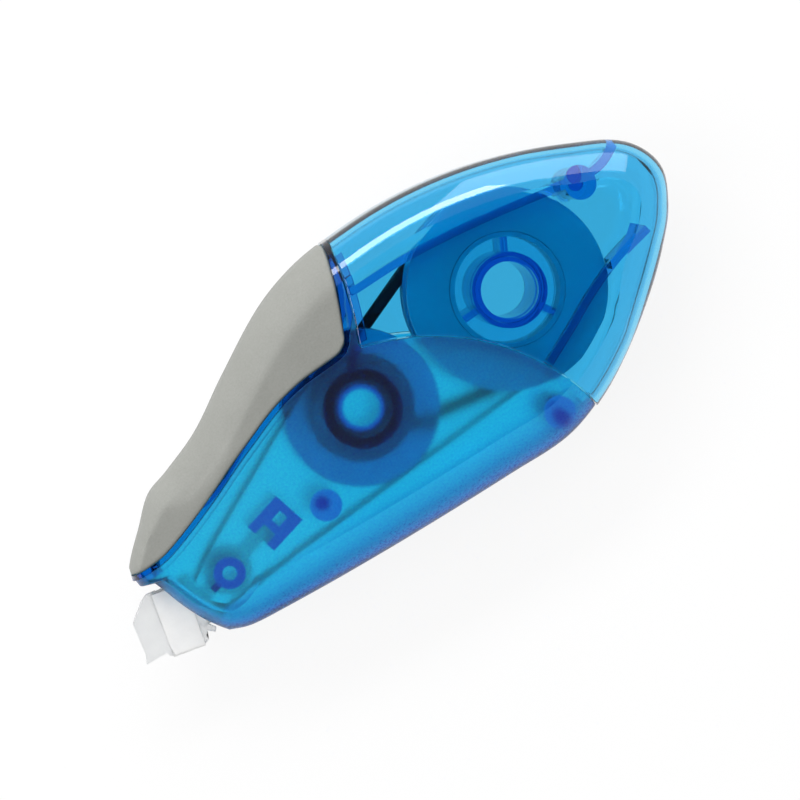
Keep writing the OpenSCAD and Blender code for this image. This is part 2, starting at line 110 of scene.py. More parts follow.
def smooth_line(points: Sequence[Plan], steps: int) -> list[Plan]:
    """Draws a smooth line through points.

    Args:
        points: The points that it passes.
        steps: Pieces between each two of them.

    Returns:
        The points of the smooth line.
    """
    headings = []
    for i in range(len(points)):
        (ax, ay), (bx, by) = points[max(i - 1, 0)], points[min(i + 1, len(points) - 1)]
        headings.append(unit(bx - ax, by - ay))
    line: list[Plan] = []
    for i in range(len(points) - 1):
        (ax, ay), (bx, by) = points[i], points[i + 1]
        size = math.hypot(bx - ax, by - ay)
        (ux, uy), (vx, vy) = headings[i], headings[i + 1]
        for k in range(steps):
            t = k / steps
            start, leave = 2 * t**3 - 3 * t**2 + 1, (t**3 - 2 * t**2 + t) * size
            end, arrive = 3 * t**2 - 2 * t**3, (t**3 - t**2) * size
            line.append(
                (
                    start * ax + leave * ux + end * bx + arrive * vx,
                    start * ay + leave * uy + end * by + arrive * vy
                )
            )
    return line + [points[-1]]


# Solids in millimetres, in the drawing's own place


class Way(Enum):
    """How one solid works on another."""

    CUT = "DIFFERENCE"
    JOIN = "UNION"
    KEEP = "INTERSECT"


class Face(Enum):
    """Which part of a moulding's finish a face takes."""

    OUTSIDE = 0
    INSIDE = 1
    # Ribs, bosses, posts, rings, spokes and the raised frame; the blue plastics that set an inside
    # colour paint them darker as shade.
    DETAIL = 2


class Side(Enum):
    """The half of the casing: toward the viewer or toward the desk."""

    NEAR = 1
    FAR = -1


class Solid:
    """A closed shape that others are cut from or joined to."""

    def __init__(self, work: bmesh.types.BMesh, face: Face = Face.INSIDE) -> None:
        """Takes the mesh over.

        Args:
            work: The closed mesh, which is freed.
            face: The finish that its faces take.
        """
        bmesh.ops.recalc_face_normals(work, faces=work.faces)
        for polygon in work.faces:
            polygon.material_index = face.value
        mesh = bpy.data.meshes.new("solid")
        work.to_mesh(mesh)
        work.free()
        for _ in Face:
            mesh.materials.append(None)
        self.obj = bpy.data.objects.new("solid", mesh)
        bpy.context.scene.collection.objects.link(self.obj)

    def work(self, other: "Solid", way: Way) -> "Solid":
        """Cuts, joins or keeps what another solid covers, and uses that one up.

        Args:
            other: The solid that works on this one.
            way: What it does.

        Returns:
            This solid.
        """
        change = self.obj.modifiers.new("work", "BOOLEAN")
        change.operation = way.value
        change.solver = "MANIFOLD"
        change.object = other.obj
        graph = bpy.context.evaluated_depsgraph_get()
        mesh = bpy.data.meshes.new_from_object(self.obj.evaluated_get(graph))
        self.obj.modifiers.clear()
        old = self.obj.data
        self.obj.data = mesh
        bpy.data.meshes.remove(old)
        spent = other.obj.data
        bpy.data.objects.remove(other.obj)
        bpy.data.meshes.remove(spent)
        return self

    def cut(self, *others: "Solid") -> "Solid":
        """Takes other solids out of this one.

        Args:
            *others: The solids, which are used up.

        Returns:
            This solid.
        """
        for other in others:
            self.work(other, Way.CUT)
        return self

    def join(self, *others: "Solid") -> "Solid":
        """Adds other solids to this one.

        Args:
            *others: The solids, which are used up.

        Returns:
            This solid.
        """
        for other in others:
            self.work(other, Way.JOIN)
        return self

    def keep(self, other: "Solid") -> "Solid":
        """Keeps only what another solid covers."""
        return self.work(other, Way.KEEP)

    def mirrored(self) -> "Solid":
        """Turns the solid over to the other side of the casing's middle.

        Returns:
            This solid.
        """
        work = bmesh.new()
        work.from_mesh(self.obj.data)
        bmesh.ops.scale(work, vec=(1.0, 1.0, -1.0), verts=work.verts)
        bmesh.ops.reverse_faces(work, faces=work.faces)
        work.to_mesh(self.obj.data)
        work.free()
        return self

    def moved(self, matrix: Matrix) -> "Solid":
        """Moves or turns the solid."""
        self.obj.data.transform(matrix)
        return self

    def softened(self, width: float) -> "Solid":
        """Rounds the sharp edges of the outside.

        Args:
            width: Width of the rounding.

        Returns:
            This solid.
        """
        work = bmesh.new()
        work.from_mesh(self.obj.data)
        bmesh.ops.remove_doubles(work, verts=work.verts, dist=width / 6)
        bmesh.ops.dissolve_degenerate(work, edges=work.edges, dist=width / 6)
        sharp = [
            edge for edge in work.edges if len(edge.link_faces) == 2
            and edge.calc_face_angle(0.0) > SHARP_EDGE
            and any(f.material_index == Face.OUTSIDE.value for f in edge.link_faces)
        ]
        round_edges(work, sharp, width, False)
        work.to_mesh(self.obj.data)
        work.free()
        return self


def round_edges(work: bmesh.types.BMesh, edges: list, width: float, clamped: bool) -> None:
    """Rounds edges in two steps.

    Args:
        work: The mesh.
        edges: Its edges that are rounded.
        width: Width of the rounding.
        clamped: Whether roundings stop where they meet.
    """
    bmesh.ops.bevel(
        work, geom=edges, offset=width, offset_type="OFFSET", affect="EDGES", segments=2, profile=0.5,
        material=-1, clamp_overlap=clamped
    )


def open_loop(points: Iterable[Sequence[float]]) -> tuple[bmesh.types.BMesh, list]:
    """Starts a mesh as one closed loop of edges.

    Args:
        points: Where its corners are.

    Returns:
        The mesh, and its vertices in order.
    """
    places = [Vector(p) for p in points]
    work = bmesh.new()
    verts = bmesh.ops.create_circle(work, segments=len(places), radius=1.0)["verts"]
    verts.sort(key=lambda v: math.atan2(v.co.y, v.co.x) % math.tau)
    for vert, place in zip(verts, places):
        vert.co = place
    return work, verts


def next_loop(work: bmesh.types.BMesh, verts: list, points: Iterable[Sequence[float]]) -> list:
    """Extrudes a loop to new places.

    Args:
        work: The mesh.
        verts: The loop's vertices in order.
        points: Their new places.

    Returns:
        The new loop's vertices in the same order.
    """
    count = len(verts)
    edges = [work.edges.get((verts[i], verts[(i + 1) % count])) for i in range(count)]
    old = {vert: i for i, vert in enumerate(verts)}
    made = bmesh.ops.extrude_edge_only(work, edges=edges)["geom"]
    loop: list = [None] * count
    for vert in (g for g in made if isinstance(g, bmesh.types.BMVert)):
        for edge in vert.link_edges:
            start = edge.other_vert(vert)
            if start in old:
                loop[old[start]] = vert
    for vert, place in zip(loop, points):
        vert.co = Vector(place)
    return loop


def close_loop(work: bmesh.types.BMesh, verts: list) -> None:
    """Fills a loop with a face that is split into triangles."""
    face = work.faces.new(verts)
    bmesh.ops.triangulate(work, faces=[face], ngon_method="BEAUTY")


def loft(loops: Sequence[Sequence[Sequence[float]]], face: Face = Face.INSIDE) -> Solid:
    """Joins loops one above the other and closes both ends.

    Args:
        loops: The loops' points, with as many in each.
        face: The finish of its faces.

    Returns:
        The solid.
    """
    work, first = open_loop(loops[0])
    verts = first
    for points in loops[1:]:
        verts = next_loop(work, verts, points)
    close_loop(work, verts)
    close_loop(work, first)
    return Solid(work, face)


def ring(loops: Sequence[Sequence[Sequence[float]]]) -> bmesh.types.BMesh:
    """Joins loops all round a section, the last one back to the first.

    Args:
        loops: The loops' points, with as many in each.

    Returns:
        The closed ring.
    """
    work, verts = open_loop(loops[0])
    for points in [*loops[1:], loops[0]]:
        verts = next_loop(work, verts, points)
    bmesh.ops.remove_doubles(work, verts=work.verts, dist=1e-4)
    return work


def prism(area: Sequence[Plan], low: float, high: float, face: Face = Face.INSIDE) -> Solid:
    """A flat area given a height."""
    loops = [[(x, y, z) for x, y in area] for z in (low, high)]
    return loft(loops, face)


def across(area: Sequence[Plan], width: float) -> Solid:
    """A section of y and z given a width along x, even on both sides."""
    return loft([[(x, y, z) for y, z in area] for x in (-width / 2, width / 2)])


def post(
    centre: Plan, radius: float, low: float, high: float, sides: int = 96, face: Face = Face.DETAIL
) -> Solid:
    """Builds a round post along the axles.

    Args:
        centre: Its middle in plan.
        radius: Its radius.
        low: Height of its lower end.
        high: Height of its upper end.
        sides: Number of its flat sides.
        face: The finish of its faces.

    Returns:
        The post.
    """
    work = bmesh.new()
    place = Matrix.Translation((*centre, (low + high) / 2))
    bmesh.ops.create_cone(
        work, cap_ends=True, segments=sides, radius1=radius, radius2=radius, depth=high - low,
        matrix=place
    )
    return Solid(work, face)


def tube(
    centre: Plan, radius: float, wall: float, low: float, high: float, face: Face = Face.DETAIL
) -> Solid:
    """A round tube along the axles."""
    bore = post(centre, radius - wall, low - 1.0, high + 1.0, face=face)
    return post(centre, radius, low, high, face=face).cut(bore)


def block(low: Sequence[float], high: Sequence[float]) -> Solid:
    """A block between two corners."""
    (ax, ay, az), (bx, by, bz) = low, high
    return prism([(ax, ay), (bx, ay), (bx, by), (ax, by)], az, bz, Face.DETAIL)


def revolved(profile: Sequence[Plan], centre: Plan, rounding: float) -> bmesh.types.BMesh:
    """Spins a closed profile of radius and height round an axle.

    Args:
        profile: Its corners, as radius and height.
        centre: The axle's place.
        rounding: Width of the rounding of its corners.

    Returns:
        The closed ring.
    """
    work = bmesh.new()
    corners = [work.verts.new((r, 0.0, z)) for r, z in profile]
    edges = [work.edges.new((corners[i - 1], corners[i])) for i in range(len(corners))]
    bmesh.ops.spin(
        work, geom=[*corners, *edges], cent=(0, 0, 0), axis=(0, 0, 1), angle=math.tau, steps=TURN_STEPS,
        use_merge=True
    )
    bmesh.ops.remove_doubles(work, verts=work.verts, dist=1e-5)
    bmesh.ops.recalc_face_normals(work, faces=work.faces)
    sharp = [e for e in work.edges if e.calc_face_angle(0.0) > SHARP_EDGE]
    round_edges(work, sharp, rounding, True)
    bmesh.ops.translate(work, vec=(*centre, 0.0), verts=work.verts)
    return work


# Shader maths


@dataclass(frozen=True)
class Grain:
    """One kind of noise: the size of its grain in millimetres, and its finer layers."""

    size: float
    detail: float = 2.0
    rough: float = 0.5


class Value:
    """A node's output that Python's operators add Math nodes to."""

    def __init__(self, dress: "Dress", socket: bpy.types.NodeSocket) -> None:
        """Keeps the socket and the dress that it belongs to."""
        self.dress = dress
        self.socket = socket

    def _math(self, operation: str, first: object, second: object) -> "Value":
        """Adds one Math node and gives its output."""
        node = self.dress.node("ShaderNodeMath", {"operation": operation}, {0: first, 1: second})
        return Value(self.dress, node.outputs[0])

    def __add__(self, other: "Value | float") -> "Value":
        """This value plus another."""
        return self._math("ADD", self, other)

    __radd__ = __add__

    def __sub__(self, other: "Value | float") -> "Value":
        """This value less another."""
        return self._math("SUBTRACT", self, other)

    def __rsub__(self, other: float) -> "Value":
        """A number less this value."""
        return self._math("SUBTRACT", other, self)

    def __mul__(self, other: "Value | float") -> "Value":
        """This value times another."""
        return self._math("MULTIPLY", self, other)

    __rmul__ = __mul__

    def __abs__(self) -> "Value":
        """This value without its sign."""
        return self._math("ABSOLUTE", self, 0.0)

    def max(self, other: "Value | float") -> "Value":
        """The larger of two values."""
        return self._math("MAXIMUM", self, other)


class Dress:
    """The nodes of a material or of the sky."""

    def __init__(self, owner: bpy.types.Material | bpy.types.World) -> None:
        """Starts with nothing but the output.

        Args:
            owner: The new material or sky.
        """
        owner.use_nodes = True
        self.owner = owner
        self.tree = owner.node_tree
        self.tree.nodes.clear()
        is_sky = isinstance(owner, bpy.types.World)
        self.output = self.node("ShaderNodeOutputWorld" if is_sky else "ShaderNodeOutputMaterial")
        ways = self.node("ShaderNodeTexCoord").outputs
        self.place = ways["Generated" if is_sky else "Object"]

    @classmethod
    def material(cls, name: str) -> "Dress":
        """Starts a material."""
        return cls(bpy.data.materials.new(name))

    def node(
        self, kind: str, settings: dict[str, object] | None = None,
        sockets: dict[str | int, object] | None = None
    ) -> bpy.types.Node:
        """Adds a node.

        Args:
            kind: The node's type.
            settings: Its own settings, which are set first; stops are a ramp's.
            sockets: Values or outputs for its inputs.

        Returns:
            The node.
        """
        node = self.tree.nodes.new(kind)
        for name, value in (settings or {}).items():
            if name == "stops":
                while len(node.color_ramp.elements) < len(value):
                    node.color_ramp.elements.new(1.0)
                for element, (place, colour) in zip(node.color_ramp.elements, value):
                    element.position, element.color = place, (*colour, 1.0)
            else:
                setattr(node, name, value)
        for name, value in (sockets or {}).items():
            source = value.socket if isinstance(value, Value) else value
            if isinstance(source, bpy.types.NodeSocket):
                self.tree.links.new(source, node.inputs[name])
            else:
                node.inputs[name].default_value = source
        return node

    def noise(self, grain: Grain) -> Value:
        """Adds noise from 0 to 1.

        Args:
            grain: Its grain.

        Returns:
            The noise.
        """
        node = self.node(
            "ShaderNodeTexNoise", {"normalize": True},
            {
                "Vector": self.place, "Scale": 1.0 / (grain.size * MM), "Detail": grain.detail,
                "Roughness": grain.rough
            }
        )
        return Value(self, node.outputs["Fac"])

    def zone(self) -> Value:
        """The kind of face: 0 outside, 0.5 inside, 1 for a detail."""
        node = self.node("ShaderNodeAttribute", {"attribute_name": ZONE})
        return Value(self, node.outputs["Fac"])

    def blend(self, fac: Value, first: object, second: object) -> Value:
        """Goes from one colour to another."""
        node = self.node("ShaderNodeMix", {"data_type": "RGBA"}, {0: fac, 6: first, 7: second})
        return Value(self, node.outputs[2])

    def off_middle(self, form: "CasingForm") -> Value:
        """Works out the height off the casing's middle.

        Args:
            form: The casing.

        Returns:
            The height, from 0 to 1 at the broad faces.
        """
        node = self.node("ShaderNodeSeparateXYZ", {}, {0: self.place})
        half = DRAWING_TO_FRAME.translation.z
        ends = [
            (DRAWING_TO_FRAME @ Vector((x, 0.0, 0.0))).x
            for x in (form.thin_from * form.stretch, form.tip_x)
        ]
        fuller = self.node(
            "ShaderNodeMapRange", {"interpolation_type": "SMOOTHSTEP"},
            {
                "Value": node.outputs["X"], "From Min": ends[0], "From Max": ends[1], "To Min": 1.0,
                "To Max": 2 * form.body_h / form.nose_t
            }
        )
        height = abs(Value(self, node.outputs["Z"]) - half) * (1.0 / half)
        return height * Value(self, fuller.outputs["Result"])

    def ramp(self, fac: object, stops: Sequence[tuple[float, Sequence[float]]]) -> Value:
        """Turns a value into a colour."""
        node = self.node("ShaderNodeValToRGB", {"stops": stops}, {"Fac": fac})
        return Value(self, node.outputs["Color"])

    def clouds(self, fac: Value, deep: Colour, pale: Colour, full: float = 0.7) -> Value:
        """Goes from a deep colour to a pale one over the middle of a noise."""
        return self.ramp(fac, [(0.3, deep), (full, pale)])

    def span(self, fac: Value, low: float, high: float) -> Value:
        """Stretches 0 to 1 over low to high."""
        return fac * (high - low) + low

    def bump(self, height: Value, depth: float) -> Value:
        """Adds relief to a surface.

        Args:
            height: The relief, from 0 to 1.
            depth: Its depth, in millimetres.

        Returns:
            The surface's direction.
        """
        node = self.node(
            "ShaderNodeBump", {}, {"Height": height, "Distance": depth * MM, "Strength": 1.0}
        )
        return Value(self, node.outputs["Normal"])

    def surface(self, **sockets: object) -> bpy.types.Node:
        """Ends the surface in one shader with these inputs.

        Args:
            **sockets: The inputs, with a low line for each space.

        Returns:
            The shader node.
        """
        named = {name.replace("_", " "): value for name, value in sockets.items()}
        shader = self.node("ShaderNodeBsdfPrincipled", {}, named)
        self.tree.links.new(shader.outputs["BSDF"], self.output.inputs["Surface"])
        return shader

    def tint(self, colour: Sequence[float], per_metre: float) -> None:
        """Colours the inside of a clear solid.

        Args:
            colour: The colour that stays.
            per_metre: How much is taken in each metre.
        """
        volume = self.node(
            "ShaderNodeVolumeAbsorption", {}, {"Color": (*colour, 1.0), "Density": per_metre}
        )
        self.tree.links.new(volume.outputs["Volume"], self.output.inputs["Volume"])


# Finishes


@dataclass(frozen=True)
class TintedPlastic:
    """Clear blue moulded plastic, polished or frosted, with painted shade on its details and, where an
    edge colour is given, painted shade and light over its height.
    """

    name: str
    rough: float
    rough_spread: float
    grain: float
    depth: float
    base: Colour
    clear: float = 1.0
    # Painted shade: the deep colour of the side band and the lower roundings.
    edge: Colour | None = None
    inside: Colour | None = None
    # Painted shade: the darker colour of ribs, bosses, posts, rings and the raised frame.
    detail: Colour = (0.12, 0.32, 0.78)
    inside_rough: float = 0.06
    tint: Colour = (0.0, 0.75, 0.95)
    density: float = 300.0
    refraction: float = 1.49
    flow: Grain = Grain(9.0, 1.0)
    flow_share: float = 0.4
    # Painted shade and light: the ramp over the height off the middle, from the edge colour through
    # darker to paler tones.
    painted_shade_reach: float = 0.8
    edge_grain: Plan = (-0.4, 0.4)
    painted_shade_end: float = 0.4
    painted_shade_tones: tuple[Plan, ...] = ((0.6, 0.8), (1.0, 1.2))
    painted_shade_powers: Colour = (1.0, 1.0, 0.4)

    def material(self) -> bpy.types.Material:
        """Builds the material.

        Returns:
            The material.
        """
        dress = Dress.material(self.name)
        fine = dress.noise(Grain(self.grain, 3.0, 0.6))
        flow = dress.noise(self.flow)
        rough = dress.span(fine, -0.5, 0.5) * self.rough_spread + self.rough
        relief = fine + flow * self.flow_share
        colour: object = (*self.base, 1.0)
        # Painted shade and light: the side band and lower roundings take the deep edge colour, and the
        # base goes from darker to paler toward the middle of the broad faces.
        if self.edge is not None:
            height = dress.off_middle(CasingForm()) * self.painted_shade_reach
            tones = [(stop, self.shade(tone)) for stop, tone in self.painted_shade_tones]
            colour = dress.ramp(
                height + dress.span(fine, *self.edge_grain), [(self.painted_shade_end, self.edge), *tones]
            )
        if self.inside is not None:
            # The zones are 0, 0.5 and 1, and the ramps change between them; the detail colour is
            # painted shade.
            zone = dress.zone()
            inner = dress.ramp(zone, [(0.0, (0.0,) * 3), (0.25, (1.0,) * 3)])
            inside_and_detail_shade = dress.ramp(zone, [(0.5, self.inside), (0.75, self.detail)])
            colour = dress.blend(inner, colour, inside_and_detail_shade)
            rough = rough + inner * (self.inside_rough - self.rough)
            relief = relief * (1.0 - inner)
        dress.surface(
            Base_Color=colour, Roughness=rough, IOR=self.refraction, Transmission_Weight=self.clear,
            Normal=dress.bump(relief, self.depth)
        )
        dress.tint(self.tint, self.density)
        return dress.owner

    def shade(self, share: float) -> tuple[float, ...]:
        """The base colour made darker or paler, for the painted shade and light."""
        return tuple(min(c * share**p, 1.0) for c, p in zip(self.base, self.painted_shade_powers))


@dataclass(frozen=True)
class GripRubber:
    """Warm grey moulded rubber with a dry, fine skin."""

    name: str = "warm_grey_rubber"
    pale: Colour = (0.265, 0.27, 0.252)
    deep: Colour = (0.225, 0.23, 0.212)
    cloud: Grain = Grain(6.0, 3.0)
    fine: Grain = Grain(0.28, 2.0, 0.6)
    cloud_share: float = 0.4
    rough: Plan = (0.5, 0.72)
    shine: float = 0.35
    relief: float = 0.035

    def material(self) -> bpy.types.Material:
        """Builds the material.

        Returns:
            The material.
        """
        dress = Dress.material(self.name)
        cloud, fine = dress.noise(self.cloud), dress.noise(self.fine)
        both = cloud * self.cloud_share + fine * (1 - self.cloud_share)
        dress.surface(
            Base_Color=dress.clouds(both, self.deep, self.pale),
            Roughness=dress.span(fine, *self.rough), Specular_IOR_Level=self.shine,
            Normal=dress.bump(fine, self.relief)
        )
        return dress.owner


@dataclass(frozen=True)
class BeltRubber:
    """Black elastic rubber with a little bloom."""

    name: str = "black_belt_rubber"
    pale: Colour = (0.02, 0.02, 0.032)
    deep: Colour = (0.006, 0.006, 0.012)
    fine: Grain = Grain(0.12, 3.0, 0.6)
    full: float = 0.75
    rough: Plan = (0.45, 0.65)
    relief: float = 0.015

    def material(self) -> bpy.types.Material:
        """Builds the material.

        Returns:
            The material.
        """
        dress = Dress.material(self.name)
        fine = dress.noise(self.fine)
        dress.surface(
            Base_Color=dress.clouds(fine, self.deep, self.pale, self.full),
            Roughness=dress.span(fine, *self.rough), Normal=dress.bump(fine, self.relief)
        )
        return dress.owner


@dataclass(frozen=True)
class NibPlastic:
    """Milky white moulded plastic that lets some light through."""

    name: str = "milky_nib_plastic"
    pale: Colour = (0.93, 0.94, 0.94)
    deep: Colour = (0.85, 0.86, 0.87)
    cloud: Grain = Grain(2.2, 3.0)
    fine: Grain = Grain(0.2)
    rough: Plan = (0.28, 0.45)
    refraction: float = 1.5
    clear: float = 0.8
    milk: float = 0.1
    milk_reach: float = 0.002
    relief: float = 0.01

    def material(self) -> bpy.types.Material:
        """Builds the material.

        Returns:
            The material.
        """
        dress = Dress.material(self.name)
        cloud, fine = dress.noise(self.cloud), dress.noise(self.fine)
        dress.surface(
            Base_Color=dress.clouds(cloud, self.deep, self.pale),
            Roughness=dress.span(fine, *self.rough), IOR=self.refraction,
            Transmission_Weight=self.clear, Subsurface_Weight=self.milk,
            Subsurface_Radius=(self.milk_reach,) * 3, Subsurface_Scale=1.0,
            Normal=dress.bump(fine + cloud, self.relief)
        )
        return dress.owner


@dataclass(frozen=True)
class TapeFilm:
    """White tape, with the fine lines of a wound roll on its edges."""

    name: str
    pale: Colour
    deep: Colour
    centre: Plan
    line_scale: float = 900.0
    line_bend: float = 0.6
    line_share: float = 0.6
    stops: Plan = (0.2, 0.8)
    fine: Grain = Grain(0.5)
    rough: Plan = (0.5, 0.7)
    relief: float = 0.01

    def material(self) -> bpy.types.Material:
        """Builds the material.

        Returns:
            The material.
        """
        dress = Dress.material(self.name)
        middle = DRAWING_TO_FRAME @ Vector((*self.centre, 0.0))
        placed = dress.node(
            "ShaderNodeMapping", {}, {"Vector": dress.place, "Location": (-middle.x, -middle.y, 0.0)}
        )
        turns = dress.node(
            "ShaderNodeTexWave", {"wave_type": "RINGS", "rings_direction": "Z"},
            {
                "Vector": placed.outputs["Vector"], "Scale": self.line_scale,
                "Distortion": self.line_bend, "Detail": 2.0
            }
        )
        lines = Value(dress, turns.outputs["Fac"])
        fine = dress.noise(self.fine)
        both = lines * self.line_share + fine * (1 - self.line_share)
        dress.surface(
            Base_Color=dress.ramp(both, list(zip(self.stops, (self.deep, self.pale)))),
            Roughness=dress.span(fine, *self.rough), Normal=dress.bump(lines, self.relief)
        )
        return dress.owner


@dataclass(frozen=True)
class PlainFilm:
    """The flat face of the tape, with faint clouds."""

    name: str
    pale: Colour
    deep: Colour
    clear: float = 0.0
    cloud: Grain = Grain(3.0)
    fine: Grain = Grain(0.25)
    cloud_share: float = 0.7
    rough: Plan = (0.4, 0.6)
    relief: float = 0.006

    def material(self) -> bpy.types.Material:
        """Builds the material.

        Returns:
            The material.
        """
        dress = Dress.material(self.name)
        cloud, fine = dress.noise(self.cloud), dress.noise(self.fine)
        both = cloud * self.cloud_share + fine * (1 - self.cloud_share)
        dress.surface(
            Base_Color=dress.clouds(both, self.deep, self.pale),
            Roughness=dress.span(fine, *self.rough), Transmission_Weight=self.clear,
            Normal=dress.bump(fine, self.relief)
        )
        return dress.owner


@dataclass(frozen=True)
class DeskTop:
    """A plain pale table top that keeps a soft shadow."""

    name: str = "pale_desk_top"
    shade: float = 0.9
    glow: float = 0.88

    def material(self) -> bpy.types.Material:
        """Builds the material.

        Returns:
            The material.
        """
        dress = Dress.material(self.name)
        rays = dress.node("ShaderNodeLightPath").outputs
        seen = Value(dress, rays["Is Camera Ray"]).max(Value(dress, rays["Is Glossy Ray"])).max(
            Value(dress, rays["Is Transmission Ray"])
        )
        plain = dress.node(
            "ShaderNodeBsdfDiffuse", {}, {"Color": (self.shade, self.shade, self.shade, 1.0)}
        )
        white = dress.node("ShaderNodeEmission", {}, {"Color": (1.0, 1.0, 1.0, 1.0), "Strength": 1.0})
        mixed = dress.node(
            "ShaderNodeMixShader", {}, {0: seen * self.glow, 1: plain.outputs[0], 2: white.outputs[0]}
        )
        dress.tree.links.new(mixed.outputs[0], dress.output.inputs["Surface"])
        return dress.owner


# The object's own forms


@dataclass
class CasingForm:
    """The teardrop that every part of the casing is cut from."""

    rim_points: tuple[Plan, ...] = (
        (-50.6, -20.8), (-48, -21.6), (-44, -21.8), (-34, -21.75), (-22, -21.4), (-10, -20.8),
        (-2, -20.2), (4, -17.9), (10, -14), (16, -8.9), (20, -4.7), (23, -0.6), (24.5, 4.4), (22, 8.95),
        (16, 12), (8, 14.7), (0, 16.3), (-8, 16.8), (-16, 16.2), (-22, 15.05), (-28, 12.6), (-36, 7.4),
        (-42.4, 2.9), (-47.9, 0.3), (-51.2, -1.1), (-54.1, -4.1), (-57.5, -7.8), (-58, -9.3)
    )
    lip_points: tuple[Plan, ...] = ((-57.8, -10.4), (-56.1, -10.9))
    nose_points: tuple[Plan, ...] = ((-55.6, -12), (-54.4, -15), (-52.8, -18), (-51.4, -19.9))
    stretch: float = 57.846 / 57.8
    tail_x: float = 10.0
    nose_x: float = -44.0
    edge_w: float = 5.0
    band_h: float = 2.4
    body_h: float = 8.0
    room_h: float = 6.7
    wall: float = 1.3
    nose_t: float = 11.0
    thin_from: float = -26.0
    soft_to: float = -54.0
    soft_loss: float = 0.75
    nose_lap: float = 2.0
    steps: int = 8
    nose_steps: int = 4
    face_rings: tuple[float, ...] = (0.25, 0.5, 0.72, 0.88)
    turn: float = 7.5
    crease_deg: float = 70.0
    tip_x: float = -57.846

    def __post_init__(self) -> None:
        """Works out the outline and the middle line under it."""
        self.rim = smooth_line(self.at(self.rim_points), self.steps)
        tail = max(range(len(self.rim)), key=lambda i: self.rim[i][0])
        self.sole, self.back = self.rim[: tail + 1], self.rim[tail:]
        nose = smooth_line(self.at(self.nose_points), self.nose_steps)
        self.outline = [*self.rim, *self.at(self.lip_points), *nose]
        self.nose_foot = self.foot((self.nose_x * self.stretch, 0.0))

    def at(self, points: Iterable[Plan]) -> list[Plan]:
        """Gives drawn points their real places."""
        return [(x * self.stretch if x < 0 else x, y) for x, y in points]

    def foot(self, p: Plan) -> Plan:
        """The point of the middle line that a point's roundings close on."""
        x = clamp(p[0], self.nose_x * self.stretch, self.tail_x)
        return x, (level(self.sole, x) + level(self.back, x)) / 2

    def soft(self, x: float) -> float:
        """Share of the full rounding that is left toward the nose."""
        start, end = self.nose_x * self.stretch, self.soft_to * self.stretch
        return 1 - self.soft_loss * clamp((start - x) / (start - end), 0.0, 1.0)

    def thin(self, x: float) -> float:
        """Works out how much of the thickness is left toward the nose.

        Args:
            x: A place along the casing.

        Returns:
            The share of the full thickness there.
        """
        start = self.thin_from * self.stretch
        lost = 1 - self.nose_t / 2 / self.body_h
        return 1 - lost * ease((start - x) / (start - self.tip_x))

    def loop(self, inset: float, rounding: float, z: float) -> list[Vector]:
        """One loop of the skin.

        Args:
            inset: How far it is drawn in everywhere.
            rounding: How far it is drawn in more where the roundings are full.
            z: Its height where the casing is full.

        Returns:
            The loop's points.
        """
        points = []
        for p in self.outline:
            fx, fy = self.foot(p)
            ux, uy = unit(fx - p[0], fy - p[1])
            far = inset + rounding * self.soft(p[0])
            x, y = p[0] + ux * far, p[1] + uy * far
            points.append(Vector((x, y, z * self.thin(x))))
        return points

    def skin(self, inset: float, height: float) -> list[list[Vector]]:
        """Draws the skin from the top of the band to the middle of the broad face.

        Args:
            inset: How far it is drawn in.
            height: Height of the broad face.

        Returns:
            The skin's loops, from the band inward.
        """
        loops = []
        turns = round(90 / self.turn)
        for i in range(turns + 1):
            across, rise = self.rounding(i / turns)
            z = self.band_h + (height - self.band_h) * rise
            loops.append(self.loop(inset, self.edge_w * across, z))
        edge = loops[-1]
        for share in self.face_rings:
            inner = []
            for outer, p in zip(edge, self.outline):
                fx, fy = self.foot(p)
                x, y = outer.x + (fx - outer.x) * share, outer.y + (fy - outer.y) * share
                inner.append(Vector((x, y, height * self.thin(x))))
            loops.append(inner)
        return loops

    def rounding(self, share: float) -> Plan:
        """Reads the rounding between the band and the broad face.

        Args:
            share: Share of its turn.

        Returns:
            The shares of its width and of its height there.
        """
        full = math.radians(self.crease_deg)
        angle = full * share
        return ((1 - math.cos(angle)) / (1 - math.cos(full)), math.sin(angle) / math.sin(full))

    def half(self, inset: float, face: Face = Face.OUTSIDE, base: float = 0.02) -> Solid:
        """Builds one half of the casing's outside.

        Args:
            inset: How far it is drawn in.
            face: The finish of its faces.
            base: Height of its flat side.

        Returns:
            The half.
        """
        loops = [self.loop(inset, 0.0, base), *self.skin(inset, self.body_h - inset)]
        solid = loft(loops, face)
        for polygon in solid.obj.data.polygons:
            if polygon.normal.z < -0.5:
                polygon.material_index = Face.INSIDE.value
        return solid

    def room(self, inset: float | None = None, base: float = -1.0) -> Solid:
        """The space inside one half, reaching past the middle."""
        inset = self.wall if inset is None else inset
        return loft([self.loop(inset, 0.0, base), *self.skin(inset, self.body_h - inset)])

    def height(self, x: float, y: float, inset: float) -> float:
        """Height of the skin over a point of the plan.

        Args:
            x: The point's place along the casing.
            y: The point's place across it, on the back's side.
            inset: How far the skin is drawn in.

        Returns:
            The height above the casing's middle.
        """
        if x >= self.nose_foot[0]:
            depth, width = level(self.back, x) - y - inset, self.edge_w
        else:
            hit, width = self.outward(x, y)
            depth = hit - inset
        full = math.radians(self.crease_deg)
        cosine = 1 - clamp(depth / width, 0.0, 1.0) * (1 - math.cos(full))
        rise = math.sqrt(1 - cosine * cosine) / math.sin(full)
        top = self.body_h - inset - self.band_h
        return (self.band_h + top * rise) * self.thin(x)

